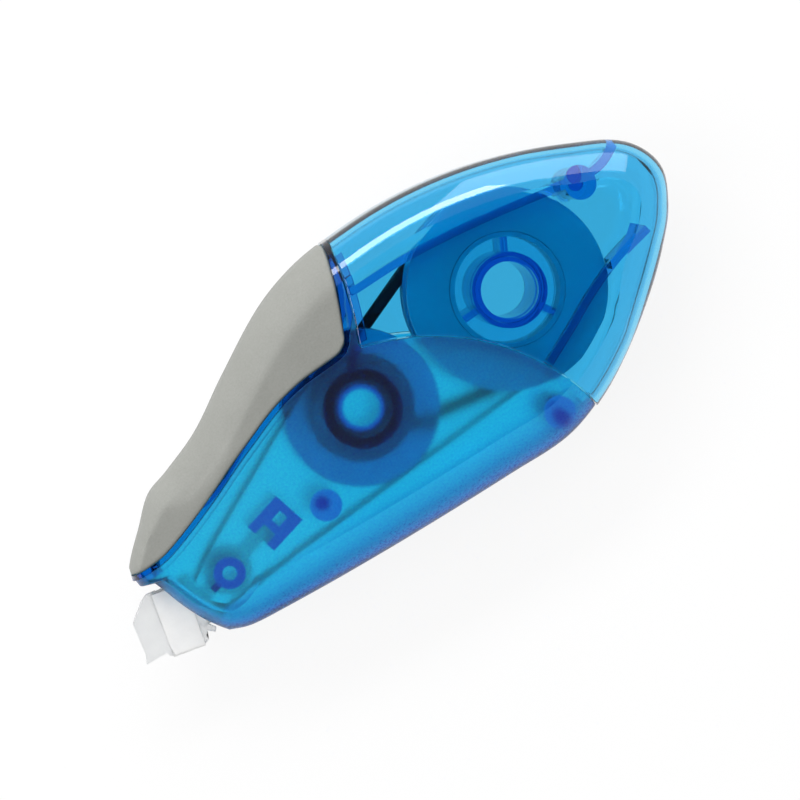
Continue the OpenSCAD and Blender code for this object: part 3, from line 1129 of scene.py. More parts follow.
    def outward(self, x: float, y: float) -> Plan:
        """Measures from a point of the nose out to the outline.

        Args:
            x: The point's place along the casing.
            y: The point's place across it.

        Returns:
            The distance, and the rounding's width where it ends.
        """
        fx, fy = self.nose_foot
        angle = math.atan2(y - fy, x - fx) % math.tau
        radius = math.hypot(x - fx, y - fy)
        best, width = 0.0, self.edge_w
        loop = self.outline
        for (ax, ay), (bx, by) in zip(loop, [*loop[1:], loop[0]]):
            if min(ax, bx) > fx + self.nose_lap:
                continue
            a = math.atan2(ay - fy, ax - fx) % math.tau
            b = math.atan2(by - fy, bx - fx) % math.tau
            if abs(b - a) > 1 or not min(a, b) <= angle <= max(a, b) or a == b:
                continue
            t = (angle - a) / (b - a)
            qx, qy = ax + (bx - ax) * t, ay + (by - ay) * t
            best = math.hypot(qx - fx, qy - fy) - radius
            width = self.edge_w * self.soft(qx)
        return best, width


@dataclass
class Borders:
    """Where the casing's mouldings and the grip meet, in plan."""

    form: CasingForm
    border_r: float = 29.3
    past_deg: float = 7.0
    arc_steps: int = 96
    seam: float = 0.12
    frame_w: float = 0.6
    seat_w: float = 1.4
    far_out: float = 90.0
    grip_corner: Plan = (-19.5, 2.7)
    sole_corner: Plan = (3.0, -18.2)
    rear_points: tuple[Plan, ...] = (
        (-19.6, 3.2), (-18.5, 6.8), (-17.6, 10.4), (-17.1, 13.5), (-16.6, 16.5), (-16, 20)
    )
    grip_rear_points: tuple[Plan, ...] = (
        (-20.6, 5.1), (-19.6, 8.1), (-18.5, 11.6), (-17.7, 14.6), (-17.2, 17), (-16.6, 20)
    )
    low_points: tuple[Plan, ...] = (
        (-62, -8.9), (-57.4, -8.7), (-54.6, -8.5), (-52.4, -8), (-48.5, -6.4), (-44.3, -4.4),
        (-40.3, -2.3), (-37, -0.7), (-32.4, 1.4), (-28.2, 2.6), (-24.4, 3.1), (-22.3, 3.4),
        (-21.2, 4.1), (-20.6, 5.1)
    )

    def __post_init__(self) -> None:
        """Works out the arc and the lines."""
        (gx, gy), (sx, sy) = self.form.at([self.grip_corner, self.sole_corner])
        dx, dy = sx - gx, sy - gy
        size = math.hypot(dx, dy)
        lift = math.sqrt(self.border_r**2 - (size / 2) ** 2)
        self.centre = ((gx + sx) / 2 + dy / size * lift, (gy + sy) / 2 - dx / size * lift)
        self.from_deg = self.bearing((sx, sy)) - self.past_deg
        self.to_deg = self.bearing((gx, gy))
        self.rear = self.form.at(self.rear_points)
        self.grip_rear = self.form.at(self.grip_rear_points)
        self.low = smooth_line(self.form.at(self.low_points), 8)

    def bearing(self, p: Plan) -> float:
        """Angle of a point seen from the arc's centre, in degrees."""
        return math.degrees(math.atan2(p[1] - self.centre[1], p[0] - self.centre[0]))

    def arc(self, outward: float) -> list[Plan]:
        """Draws the curved border.

        Args:
            outward: How far it is moved out.

        Returns:
            Its points.
        """
        radius, steps, span = self.border_r + outward, self.arc_steps, self.to_deg - self.from_deg
        return [turned(self.centre, radius, self.from_deg + span * i / steps) for i in range(steps + 1)]

    def front(self) -> list[Plan]:
        """Draws the area of the front shells.

        Returns:
            The area's corners.
        """
        far = self.far_out
        arc = self.arc(0.0)
        return [*arc, *self.rear, (-far, far), (-far, -far), (arc[0][0], -far)]

    def tail(self) -> list[Plan]:
        """Draws the area of the rear covers.

        Returns:
            The area's corners.
        """
        far = self.far_out
        arc = self.arc(self.seam)
        rear = [(x + self.seam, y) for x, y in self.rear]
        return [(arc[0][0], -far), *arc, *rear, (far, far), (far, -far)]

    def grip(self) -> list[Plan]:
        """The area of the grip."""
        far = self.far_out
        return [*self.low, *self.grip_rear[1:], (-far, far), (-far, self.low[0][1])]

    def round_grip(self, width: float) -> list[Plan]:
        """Draws the grip's area with a strip below it and the strip behind it.

        Args:
            width: Width of the strip below.

        Returns:
            The area's corners.
        """
        far = self.far_out
        below = beside(self.low, -width)
        return [*below, *self.rear[1:], (-far, far), (-far, below[0][1])]


def beside(line: Sequence[Plan], width: float) -> list[Plan]:
    """Moves a line to its left.

    Args:
        line: The line.
        width: How far it is moved.

    Returns:
        The moved line.
    """
    moved = []
    for i, (x, y) in enumerate(line):
        (ax, ay), (bx, by) = line[max(i - 1, 0)], line[min(i + 1, len(line) - 1)]
        ux, uy = unit(bx - ax, by - ay)
        moved.append((x - uy * width, y + ux * width))
    return moved


def strip(line: Sequence[Plan], width: float) -> list[Plan]:
    """The area of a line given an even width."""
    return [*beside(line, width / 2), *beside(line, -width / 2)[::-1]]


@dataclass
class Spool:
    """One spool: its core, flange, belt pulley and roll, round one axle."""

    title: str
    centre: Plan
    flange_r: float
    hub_r: float
    axle_r: float
    roll_r: float
    belt_r: float
    ring_t: float = 0.6
    run_fit: float = 0.06
    pin_fit: float = 0.05
    spigot_t: float = 0.4
    belt_w: float = 1.5
    belt_fit: float = 0.12
    flange_t: float = 0.8
    top: float = 4.45
    beyond: float = 9.0
    groove: Plan = (-3.65, -1.85)
    tape: Plan = (-0.8, 3.4)
    disc_edge: float = 0.12
    roll_edge: float = 0.05
    pulley_edge: float = 0.08

    @property
    def body(self) -> str:
        """The body that its pieces ride on."""
        return f"{self.title}_spool"

    @property
    def bore_r(self) -> float:
        """Radius of the spool's bore."""
        return self.axle_r + self.run_fit

    @property
    def seat_r(self) -> float:
        """Radius of the hole that a disc sits on the core's spigot with."""
        return self.hub_r - self.spigot_t + self.pin_fit

    @property
    def lid_low(self) -> float:
        """Height of the flange's inner face."""
        return self.top - self.flange_t

    @property
    def web_top(self) -> float:
        """Height of the pulley's inner face."""
        return self.groove[1] + self.flange_t

    @property
    def root_r(self) -> float:
        """Radius of the belt groove's floor."""
        return self.belt_r - self.belt_w / 2 - self.belt_fit

    def post(self, radius: float, low: float, high: float) -> Solid:
        """A round post on the spool's axle."""
        return post(self.centre, radius, low, high, TURN_STEPS)

    def disc(self, inner: float, outer: float, span: Plan, rounding: float) -> bmesh.types.BMesh:
        """A flat ring on the spool's axle.

        Args:
            inner: Radius of its hole.
            outer: Its own radius.
            span: Heights of its lower and upper face.
            rounding: Width of the rounding of its edges.

        Returns:
            The closed ring.
        """
        low, high = span
        corners = [(inner, low), (outer, low), (outer, high), (inner, high)]
        return revolved(corners, self.centre, rounding)

    def flange(self) -> bmesh.types.BMesh:
        """The disc on the near end."""
        return self.disc(self.seat_r, self.flange_r, (self.lid_low, self.top), self.disc_edge)

    def roll(self) -> bmesh.types.BMesh:
        """The wound tape."""
        return self.disc(self.hub_r + self.pin_fit, self.roll_r, self.tape, self.roll_edge)


@dataclass
class SupplySpool(Spool):
    """The big spool of new tape, with an open core on three spokes."""

    spokes: int = 3
    first_spoke: float = 66.0
    spoke_w: float = 0.9
    spoke_in: float = 0.3
    floor_t: float = 1.2
    rim_t: float = 1.1
    skin: float = 0.005

    @property
    def inner_r(self) -> float:
        """Radius inside the open core."""
        return self.hub_r - self.ring_t - self.spigot_t

    def core(self) -> Solid:
        """Builds the open core that the tape is wound on.

        Returns:
            The core, with a spigot on each end.
        """
        low, high = self.web_top, self.lid_low
        core = self.post(self.hub_r, low, high)
        core.join(self.post(self.hub_r - self.spigot_t, low - self.flange_t, high + self.flange_t))
        return core.cut(self.post(self.inner_r, -self.beyond, self.beyond))

    def bearing(self) -> Solid:
        """Builds the bearing ring, with the spokes and the floor round it.

        Returns:
            The ring, which ends a hair inside the core.
        """
        core = tube(self.centre, self.bore_r + self.ring_t, self.ring_t, -self.top, self.top)
        start = self.bore_r + self.ring_t / 2
        reach = self.inner_r - self.skin - start
        low, high = self.web_top, self.web_top + self.floor_t
        core.join(tube(self.centre, start + reach, reach, low, high, Face.INSIDE))
        half_w, half_h = self.spoke_w / 2, self.top - self.spoke_in
        place = Matrix.Translation((*self.centre, 0.0))
        for i in range(self.spokes):
            spoke = block((start, -half_w, -half_h), (start + reach, half_w, half_h))
            angle = math.radians(self.first_spoke + i * 360 / self.spokes)
            core.join(spoke.moved(place @ Matrix.Rotation(angle, 4, "Z")))
        return core

    def pulley(self) -> bmesh.types.BMesh:
        """Builds the big pulley: a flange, and a hollow rim with the belt groove.

        Returns:
            The closed ring.
        """
        inner, outer, root = self.seat_r, self.flange_r, self.root_r
        hollow = root - self.rim_t
        low, high = self.groove
        return revolved(
            [
                (inner, high), (hollow, high), (hollow, -self.top), (outer, -self.top), (outer, low),
                (root, low), (root, high), (outer, high), (outer, self.web_top), (inner, self.web_top)
            ],
            self.centre, self.pulley_edge
        )


@dataclass
class TakeUpSpool(Spool):
    """The small spool that winds up the used carrier."""

    lip_r: float = 6.15
    spigot_l: float = 0.5
    mouth_l: float = 1.0

    def core(self) -> Solid:
        """Builds the solid core.

        Returns:
            The core, with its spigot in the flange and a wider mouth round the axle's end.
        """
        core = self.post(self.hub_r, self.web_top, self.lid_low)
        core.join(self.post(self.hub_r - self.spigot_t, self.lid_low - self.spigot_l, self.top))
        core.cut(self.post(self.bore_r, -self.beyond, self.beyond))
        return core.cut(self.post(self.bore_r + self.spigot_t, self.top - self.mouth_l, self.beyond))

    def pulley(self) -> bmesh.types.BMesh:
        """Builds the small pulley under its flange.

        Returns:
            The closed ring.
        """
        bore, lip, root = self.bore_r, self.lip_r, self.root_r
        low, high = self.groove
        return revolved(
            [
                (bore, -self.top), (lip, -self.top), (lip, low), (root, low), (root, high),
                (self.flange_r, high), (self.flange_r, self.web_top), (bore, self.web_top)
            ],
            self.centre, self.pulley_edge
        )


@dataclass
class Workshop:
    """Turns solids and meshes into finished pieces of the object."""

    sharp_deg: float = 28.0

    def piece(
        self, name: str, mesh: bpy.types.Mesh, body: str, slot: str, nodes: Sequence[str],
        material: bpy.types.Material
    ) -> bpy.types.Object:
        """Places a mesh in the frame, on its body, and hides the nodes that it stands for.

        Args:
            name: The piece's name.
            mesh: Its mesh, in drawing millimetres.
            body: The body that it rides on.
            slot: Not used.
            nodes: The nodes that it stands for.
            material: Its finish.

        Returns:
            The piece.
        """
        mesh.name = name
        mesh.transform(DRAWING_TO_FRAME)
        zones = [polygon.material_index / 2 for polygon in mesh.polygons]
        mesh.attributes.new(ZONE, "FLOAT", "FACE").data.foreach_set("value", zones)
        mesh.materials.clear()
        mesh.materials.append(material)
        mesh.shade_smooth()
        mesh.set_sharp_from_angle(angle=math.radians(self.sharp_deg))
        made = bpy.data.objects.new(name, mesh)
        bpy.context.scene.collection.objects.link(made)
        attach(made, body)
        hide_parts(*nodes)
        LOG.info("%s: %d faces", name, len(mesh.polygons))
        return made

    def from_solid(self, name: str, solid: Solid, *rest: object) -> bpy.types.Object:
        """Finishes a solid as a piece.

        Args:
            name: The piece's name.
            solid: The solid.
            *rest: What piece() takes after the mesh.

        Returns:
            The piece.
        """
        mesh = solid.obj.data
        bpy.data.objects.remove(solid.obj)
        return self.piece(name, mesh, *rest)

    def from_work(self, name: str, work: bmesh.types.BMesh, *rest: object) -> bpy.types.Object:
        """Finishes a closed mesh as a piece.

        Args:
            name: The piece's name.
            work: The mesh, which is freed.
            *rest: What piece() takes after the mesh.

        Returns:
            The piece.
        """
        bmesh.ops.recalc_face_normals(work, faces=work.faces)
        mesh = bpy.data.meshes.new(name)
        work.to_mesh(mesh)
        work.free()
        return self.piece(name, mesh, *rest)


@dataclass
class Halves:
    """What the front shells and the rear covers have in common."""

    form: CasingForm
    borders: Borders
    spool: Spool
    boss_r: float = 2.0
    pin_r: float = 0.9
    pin_l: float = 2.4
    pin_fit: float = 0.05
    pin_room: float = 0.4
    rib_t: float = 1.0
    rib_h: float = 1.8
    end_gap: float = 0.25

    def half(self, side: Side) -> Solid:
        """Builds one half, which each of the two kinds does in its own way.

        Args:
            side: The side that it will lie on.

        Returns:
            The half, before it is turned to its side.
        """
        raise NotImplementedError

    def pinned(self, shell: Solid, side: Side, places: Sequence[Plan]) -> Solid:
        """Gives one half its pins, or the holes that they go into.

        Args:
            shell: The half.
            side: Its side: pins stand on the near one.
            places: The pins' centres.

        Returns:
            The half.
        """
        for p in places:
            if side is Side.FAR:
                hole = post(p, self.pin_r + self.pin_fit, -1.0, self.pin_l + self.pin_room)
                shell.cut(hole)
            else:
                shell.join(post(p, self.pin_r, -self.pin_l, 1.0))
        return shell

    def keeper(self, radius: float, wall: float) -> Solid:
        """Builds the ring under the near skin that keeps the spool on its axle.

        Args:
            radius: Its radius.
            wall: Its wall.

        Returns:
            The ring.
        """
        low, high = self.spool.top + self.end_gap, self.form.room_h + self.form.wall / 2
        return tube(self.spool.centre, radius, wall, low, high)

    def far(self) -> Solid:
        """Builds the far half.

        Returns:
            The half, with the spool's axle tube.
        """
        spool = self.spool
        low, high = -self.form.room_h - self.form.wall / 2, spool.top - self.end_gap
        axle = tube(spool.centre, spool.axle_r, spool.ring_t, low, high)
        return self.half(Side.FAR).mirrored().join(axle)


@dataclass
class FrontShells(Halves):
    """The two frosted halves of the front."""

    nib: "Nib" = field(kw_only=True)
    ledge: float = 0.3
    grip_t: float = 1.5
    seat_t: float = 1.0
    nose_fit: float = 0.2
    thrust_r: float = 4.95
    thrust_t: float = 1.3
    ring_rib: tuple[Plan, ...] = ((-19.6, 3), (-20.9, 2.2), (-22.1, 0.5))
    pins: tuple[Plan, ...] = ((-1.7, -16.2), (-32.6, -12.3))
    eye_low: float = 0.3
    eye_rib_w: float = 0.9
    eye_rib_l: float = 1.4
    eye_rib_gap: float = 0.2
    eye_rib_lap: float = 0.4
    eye_rib_deg: float = 197.0
    bracket_w: float = 4.4
    bracket_l: float = 3.6
    leg_l: float = 1.6
    leg_lap: float = 0.1
    slot: Plan = (1.5, 1.25)
    open_area: tuple[Plan, ...] = (
        (-60, -11.9), (-51.2, -11.9), (-50.7, -18.9), (-52.4, -19.1), (-60, -26)
    )

    def bracket(self) -> Solid:
        """Builds the slotted bracket that the nib's stem ends in.

        Returns:
            The bracket.
        """
        form, nib = self.form, self.nib
        floor = -(nib.stem_t / 2 + 1)
        top = form.room_h * form.thin(nib.bracket_c[0]) + form.wall / 3
        leg_w = (self.bracket_w - nib.stem_w) / 2 - self.pin_fit
        long, wide = self.bracket_l / 2, self.bracket_w / 2
        slot_x, slot_y = self.slot[0] / 2, self.slot[1] / 2
        made = block((-long, -wide, floor), (long, wide, top))
        made.cut(block((-slot_x, -slot_y, floor - 1), (slot_x, slot_y, top + 1)))
        for low in (wide - leg_w, -wide):
            start = long - self.leg_lap
            made.join(block((start, low, floor), (long + self.leg_l, low + leg_w, top)))
        return made.moved(nib.along_stem())

    def eye_rib(self) -> Solid:
        """Builds the short rib on the boss of the nib's eye.

        Returns:
            The rib.
        """
        low, start = self.nib.stem_t / 2 + self.eye_rib_gap, self.boss_r - self.eye_rib_lap
        half_w, end = self.eye_rib_w / 2, start + self.eye_rib_l
        rib = block((start, -half_w, low), (end, half_w, self.borders.far_out))
        (eye,) = self.form.at([self.nib.eye])
        turn = Matrix.Rotation(math.radians(self.eye_rib_deg), 4, "Z")
        return rib.moved(Matrix.Translation((*eye, 0.0)) @ turn)

    def half(self, side: Side) -> Solid:
        """Builds one frosted half, before it is turned to its side.

        Args:
            side: The side that it will lie on.

        Returns:
            The half.
        """
        form, borders, far_out = self.form, self.borders, self.borders.far_out
        shell = form.half(self.ledge)
        frame = prism(borders.round_grip(borders.frame_w), -1.0, far_out)
        shell.join(form.half(0.0, Face.DETAIL).keep(frame))
        shell.keep(prism(borders.front(), -1.0, far_out))
        pocket = prism(borders.grip(), -1.0, far_out)
        shell.cut(pocket.cut(form.half(self.grip_t + borders.seam, Face.OUTSIDE, -2.0)))
        pins = form.at(self.pins)
        (eye,) = form.at([self.nib.eye])
        room = form.room()
        seat = prism(borders.round_grip(borders.seat_w), -3.0, far_out)
        room.cut(seat.cut(form.room(self.grip_t + borders.seam + self.seat_t, -4.0)))
        for p in pins:
            room.cut(post(p, self.boss_r, -2.0, far_out))
        low = self.eye_low if side is Side.NEAR else -2.0
        room.cut(tube(eye, self.boss_r, self.boss_r - self.pin_r, low, far_out))
        room.cut(self.eye_rib())
        rib = [*borders.arc(-self.rib_t), *borders.arc(1.0)[::-1]]
        room.cut(prism(rib, form.room_h - self.rib_h, far_out))
        if side is Side.NEAR:
            rib = strip(form.at(self.ring_rib), self.rib_t)
            room.cut(prism(rib, form.room_h - self.rib_h, far_out, Face.DETAIL))
        shell.cut(room)
        shell.cut(prism(form.at(self.open_area), -1.0, self.nib.nib_t / 2 + self.nose_fit))
        return self.pinned(shell, side, pins)

    def near(self) -> Solid:
        """Builds the near half.

        Returns:
            The half, with the take-up spool's ring and the nib's bracket.
        """
        return self.half(Side.NEAR).join(self.keeper(self.thrust_r, self.thrust_t), self.bracket())


@dataclass
class RearCovers(Halves):
    """The two clear halves over the supply spool."""

    boss: Plan = (14, 7.3)
    rim_t: float = 1.1
    rib_low: float = 0.3
    spool_room: float = 13.2
    high_rib: tuple[Plan, ...] = (
        (-17.3, 9.2), (-9, 9.7), (1, 9.3), (11.4, 8.2), (14.2, 7.7), (17.2, 7.8), (20, 8.9)
    )
    low_rib: tuple[Plan, ...] = ((18.6, -1.4), (13.4, -3.1), (8.9, -5.2), (4.5, -7.8), (0.1, -10.3))

    def half(self, side: Side) -> Solid:
        """Builds one clear half, before it is turned to its side.

        Args:
            side: The side that it will lie on.

        Returns:
            The half.
        """
        form, far_out = self.form, self.borders.far_out
        cover = form.half(0.0).keep(prism(self.borders.tail(), -1.0, far_out))
        room = form.room()
        room.cut(post(self.boss, self.boss_r, -2.0, far_out))
        rim = [(x + self.borders.seam, y) for x, y in self.borders.rear]
        rim += [(x + self.rim_t, y) for x, y in rim[::-1]]
        low = form.room_h - self.rib_h
        room.cut(prism(rim, low, far_out, Face.DETAIL))
        if side is Side.NEAR:
            for points in (self.high_rib, self.low_rib):
                line = smooth_line(form.at(points), 8)
                rib = prism(strip(line, self.rib_t), self.rib_low, far_out, Face.DETAIL)
                room.cut(rib.cut(post(self.spool.centre, self.spool_room, -1.0, low)))
        return self.pinned(cover.cut(room), side, [self.boss])

    def near(self) -> Solid:
        """Builds the near half.

        Returns:
            The half, with the ring that the supply axle ends in.
        """
        ring_t = self.spool.ring_t
        return self.half(Side.NEAR).join(self.keeper(self.spool.axle_r + ring_t, 2 * ring_t - 0.1))


@dataclass
class SoftGrip:
    """The rubber saddle over the back and both broad faces."""

    form: CasingForm
    borders: Borders
    thickness: float = 1.5
    round_r: float = 0.5
    flat_rows: int = 7
    round_rows: int = 12
    bend_share: float = 0.6
    edge_w: float = 0.7
    edge_share: float = 0.25
    edge_rows: tuple[float, ...] = (0.7, 0.45, 0.25, 0.1, 0.03, 0.0)
    rear_rows: tuple[float, ...] = (0.7, 0.5, 0.34, 0.2, 0.1, 0.04, 0.0)
    rear_top: float = 15.9
    front_gap: float = 0.08
    lean_from: float = -36.0
    rear_lean: float = 0.9
    most_inset: float = 0.98
    border_rounds: int = 20
    even_reach: float = 6.0
    even_rounds: int = 20

    def stations(self) -> list[float]:
        """Lists places along the back, closer at the rear end.

        Returns:
            The places, from the front end.
        """
        back, low = self.form.back, self.borders.low
        end = level([(y, x) for x, y in self.borders.grip_rear], self.rear_top)
        start = min(x for x, _ in back)
        while level(back, start) < level(low, start) + self.front_gap:
            start += 0.02
        inner = [x for x, _ in back if start + 0.1 < x < end - 0.9]
        return [start, *sorted(inner)] + [end - d for d in self.rear_rows]

    def rows(self, depth: float, width: float) -> list[float]:
        """Distances from the outline to the rows of one side.

        Args:
            depth: Distance from the outline to the lower border.
            width: Width of the rounding there.

        Returns:
            The distances, from the outline to the border.
        """
        bend = min(width, self.bend_share * depth)
        edge = min(self.edge_w, self.edge_share * (depth - bend))
        rows = [bend * self.form.rounding(i / self.round_rows)[0] for i in range(self.round_rows + 1)]
        start, end = bend, depth - edge
        rows += [start + (end - start) * (i + 1) / self.flat_rows for i in range(self.flat_rows)]
        return rows + [depth - edge * s for s in self.edge_rows]

    def section(self, x: float, inner: bool) -> list[Vector]:
        """One line round the saddle, from border to border.

        Args:
            x: Its place along the back.
            inner: Whether it lies on the inner skin.

        Returns:
            Its points, from the far border to the near one.
        """
        form = self.form
        top = level(form.back, x)
        rear = [(y, px) for px, y in self.borders.grip_rear]
        end = self.stations()[-1]
        lean = ease((x - self.lean_from) / (end - self.lean_from))
        border = self.border_y(x, lean, rear, top)
        depth = top - border
        foot = form.foot((x, top))
        ux, uy = unit(foot[0] - x, foot[1] - top)
        near: list[Vector] = []
        width = form.edge_w * form.soft(x)
        bend = min(width, self.bend_share * depth)
        for m in self.rows(depth, width):
            px = x + lean * (level(rear, top - m) - level(rear, top))
            over = level(form.back, px) - top if px > form.nose_foot[0] else 0.0
            fade = 1 - clamp((m - bend) / (depth - bend), 0.0, 1.0)
            py = top - m + over * fade
            share = m / depth
            gap = min(depth - m, end - x) if lean > self.rear_lean else depth - m
            inset = self.thickness if inner else self.drop(gap)
            limit = min(inset, self.most_inset * depth)
            px += ux * limit * (1 - share)
            py += uy * limit * (1 - share)
            near.append(Vector((px, py, form.height(px, py, inset))))
        band = near[0].z
        far = [Vector((p.x, p.y, -p.z)) for p in near[::-1]]
        first = near[0]
        middle = [Vector((first.x, first.y, band * s)) for s in (-0.5, 0.0, 0.5)]
        return [*far, *middle, *near]

    def border_y(self, x: float, lean: float, rear: Sequence[Plan], top: float) -> float:
        """Finds the lower border under a station that leans with the rear edge.

        Args:
            x: The station's place along the back.
            lean: How much it leans, from 0 to 1.
            rear: The rear edge, as y and x.
            top: Height of the back there.

        Returns:
            The border's height.
        """
        y = level(self.borders.low, x)
        for _ in range(self.border_rounds):
            px = x + lean * (level(rear, y) - level(rear, top))
            y = level(self.borders.low, px)
        return y

    def drop(self, gap: float) -> float:
        """How far the skin sinks at a distance from its border."""
        short = clamp(self.round_r - gap, 0.0, self.round_r)
        return self.round_r - math.sqrt(self.round_r**2 - short**2)

    def mesh(self) -> bmesh.types.BMesh:
        """Builds the saddle.

        Returns:
            The closed mesh.
        """
        stations = self.stations()
        skins = [[self.section(x, inner) for x in stations] for inner in (False, True)]
        count = len(skins[0][0])
        work = bmesh.new()
        for skin in skins:
            verts = bmesh.ops.create_grid(
                work, x_segments=len(stations) - 1, y_segments=count - 1, size=0.5
            )["verts"]
            for vert in verts:
                i = round((vert.co.x + 0.5) * (len(stations) - 1))
                k = round((vert.co.y + 0.5) * (count - 1))
                vert.co = skin[i][k]
        self.even_out(work)
        rims = [e for e in work.edges if e.is_boundary]
        bmesh.ops.bridge_loops(work, edges=rims)
        return work

    def even_out(self, work: bmesh.types.BMesh) -> None:
        """Smooths the skins' height where the nose's rounding takes over.

        Args:
            work: The saddle's mesh.
        """
        start = self.form.nose_foot[0]
        verts = [v for v in work.verts if abs(v.co.x - start) < self.even_reach and not v.is_boundary]
        for _ in range(self.even_rounds):
            bmesh.ops.smooth_vert(
                work, verts=verts, factor=0.5, use_axis_x=False, use_axis_y=False, use_axis_z=True
            )


@dataclass
class Nib:
    """The blade and its fins, on a stem inside the casing."""

    form: CasingForm
    centre: Plan = (-56, -20.5)
    turn: float = -8.6
    nib_t: float = 4.4
    channel_d: float = 0.6
    blade_t: float = 0.6
    blade_l: float = 6.2
    blade_in: float = 2.0
    blade_w: float = 4.4
    stem_t: float = 1.6
    stem_w: float = 1.8
    stem_start: float = 1.9
    stem_end: float = 1.8
    eye: Plan = (-47, -14)
    eye_r: float = 2.05
    eye_t: float = 1.0
    eye_cut: float = 3.0
    bracket_c: Plan = (-38.4, -11)
    tape_w: float = 4.2
    side_fit: float = 0.05
    base_area: tuple[Plan, ...] = (
        (-55.6, -12.2), (-51.6, -12.2), (-51, -18.6), (-53.1, -18.6), (-54.5, -15.4)
    )
    left_fin: tuple[Plan, ...] = (
        (-1.5, 8.4), (-2.8, 8.3), (-3.7, 7.6), (-4.2, 7), (-5.1, 6), (-5.5, 5.4), (-5.3, 1.4),
        (-5.6, 0.2), (-2.8, 0.7), (-2.5, 0.2), (-2, 0), (-2, 5)
    )
    right_fin: tuple[Plan, ...] = ((1.9, 0), (2.7, 0.4), (2.6, 1), (2.9, 1.4), (3.1, 4), (1.9, 4))
    heel: tuple[Plan, ...] = (
        (-53.9, -17.6), (-53.1, -17.8), (-51.75, -19.7), (-52.1, -20.05), (-53.5, -18.9)
    )

    @property
    def top(self) -> float:
        """Height of the floor that the tape runs on."""
        return self.nib_t / 2 - self.channel_d

    def placed(self, solid: Solid) -> Solid:
        """Moves a solid from the blade's own place to the nose.

        Args:
            solid: The solid.

        Returns:
            The same solid.
        """
        (centre,) = self.form.at([self.centre])
        turn = Matrix.Rotation(math.radians(self.turn), 4, "Z")
        return solid.moved(Matrix.Translation((*centre, 0.0)) @ turn)

    def along_stem(self) -> Matrix:
        """Works out the move from the drawing's middle to the stem's end.

        Returns:
            The move, with a turn toward the eye.
        """
        (ex, ey), (bx, by) = self.form.at([self.eye, self.bracket_c])
        turn = Matrix.Rotation(math.atan2(ey - by, ex - bx), 4, "Z")
        return Matrix.Translation((bx, by, 0.0)) @ turn

    def wedge(self) -> Solid:
        """Builds the blade, thin at its edge.

        Returns:
            The blade.
        """
        side = [
            (self.blade_l + self.blade_in, self.top), (self.blade_l, self.top),
            (self.blade_t / 3, self.blade_t / 2), (0.0, self.blade_t / 4)
        ]
        area = [*side, *[(y, -z) for y, z in side[::-1]]]
        return self.placed(across(area, self.blade_w))

    def tape_way(self) -> list[Solid]:
        """Builds the room that the tape takes on its way round the blade.

        Returns:
            The solids that are cut out of the nib.
        """
        wide, high = self.tape_w / 2 + self.side_fit, self.nib_t
        low, far = -1.0, self.blade_l + 2 * self.blade_in - 1
        corners = (
            ((-wide, low, -high), (wide, self.blade_l, high)),
            ((-wide, low, self.top), (wide, far, high)), ((-wide, low, -high), (wide, far, -self.top))
        )
        return [self.placed(block(*pair)) for pair in corners]

    def solid(self) -> Solid:
        """Builds the whole nib.

        Returns:
            The nib.
        """
        half, thick = self.nib_t / 2, self.stem_t / 2
        nib = prism(self.form.at(self.base_area), -half, half)
        nib.join(prism(self.form.at(self.heel), -thick, thick))
        for area in (self.left_fin, self.right_fin):
            nib.join(self.placed(prism(area, -thick, thick)))
        nib.cut(*self.tape_way()).join(self.wedge())
        eye, bracket, end = self.form.at([self.eye, self.bracket_c, self.base_area[2]])
        nib.join(post(eye, self.eye_r + self.eye_t, -thick, thick))
        start, wide = self.stem_start, self.stem_w / 2
        length = math.hypot(end[0] - bracket[0], end[1] - bracket[1]) - self.stem_end
        stem = block((start, -wide, -thick), (start + length, wide, thick))
        nib.join(stem.moved(self.along_stem()))
        return nib.cut(post(eye, self.eye_r, -self.eye_cut, self.eye_cut))


@dataclass
class DriveBelt:
    """The elastic belt round both pulleys."""

    supply: Spool
    take_up: Spool
    thick: float = 1.4
    corner: float = 0.35
    arc_steps: int = 72
    corner_steps: int = 4

    def path(self, outward: float, z: float) -> list[Vector]:
        """Draws the belt's way round both pulleys.

        Args:
            outward: How far it is moved out.
            z: Its height.

        Returns:
            Its points.
        """
        (ax, ay), (bx, by) = self.supply.centre, self.take_up.centre
        big, small = self.supply.belt_r, self.take_up.belt_r
        away = math.degrees(math.atan2(by - ay, bx - ax))
        swing = math.degrees(math.acos((big - small) / math.hypot(bx - ax, by - ay)))
        points = []
        for centre, radius, start, span in (
            (self.supply.centre, big, away + swing, 360 - 2 * swing),
            (self.take_up.centre, small, away - swing, 2 * swing)
        ):
            for i in range(self.arc_steps + 1):
                x, y = turned(centre, radius + outward, start + span * i / self.arc_steps)
                points.append(Vector((x, y, z)))
        return points

    def mesh(self) -> bmesh.types.BMesh:
        """Builds the belt, with rounded corners.

        Returns:
            The closed mesh.
        """
        half_w, half_t = self.supply.belt_w / 2 - self.corner, self.thick / 2 - self.corner
        middle = sum(self.supply.groove) / 2
        loops = []
        for quarter, (sx, sz) in enumerate(((1, 1), (-1, 1), (-1, -1), (1, -1))):
            for i in range(self.corner_steps + 1):
                angle = math.radians(90 * (quarter + i / self.corner_steps))
                outward = sx * half_w + self.corner * math.cos(angle)
                rise = sz * half_t + self.corner * math.sin(angle)
                loops.append(self.path(outward, middle + rise))
        return ring(loops)


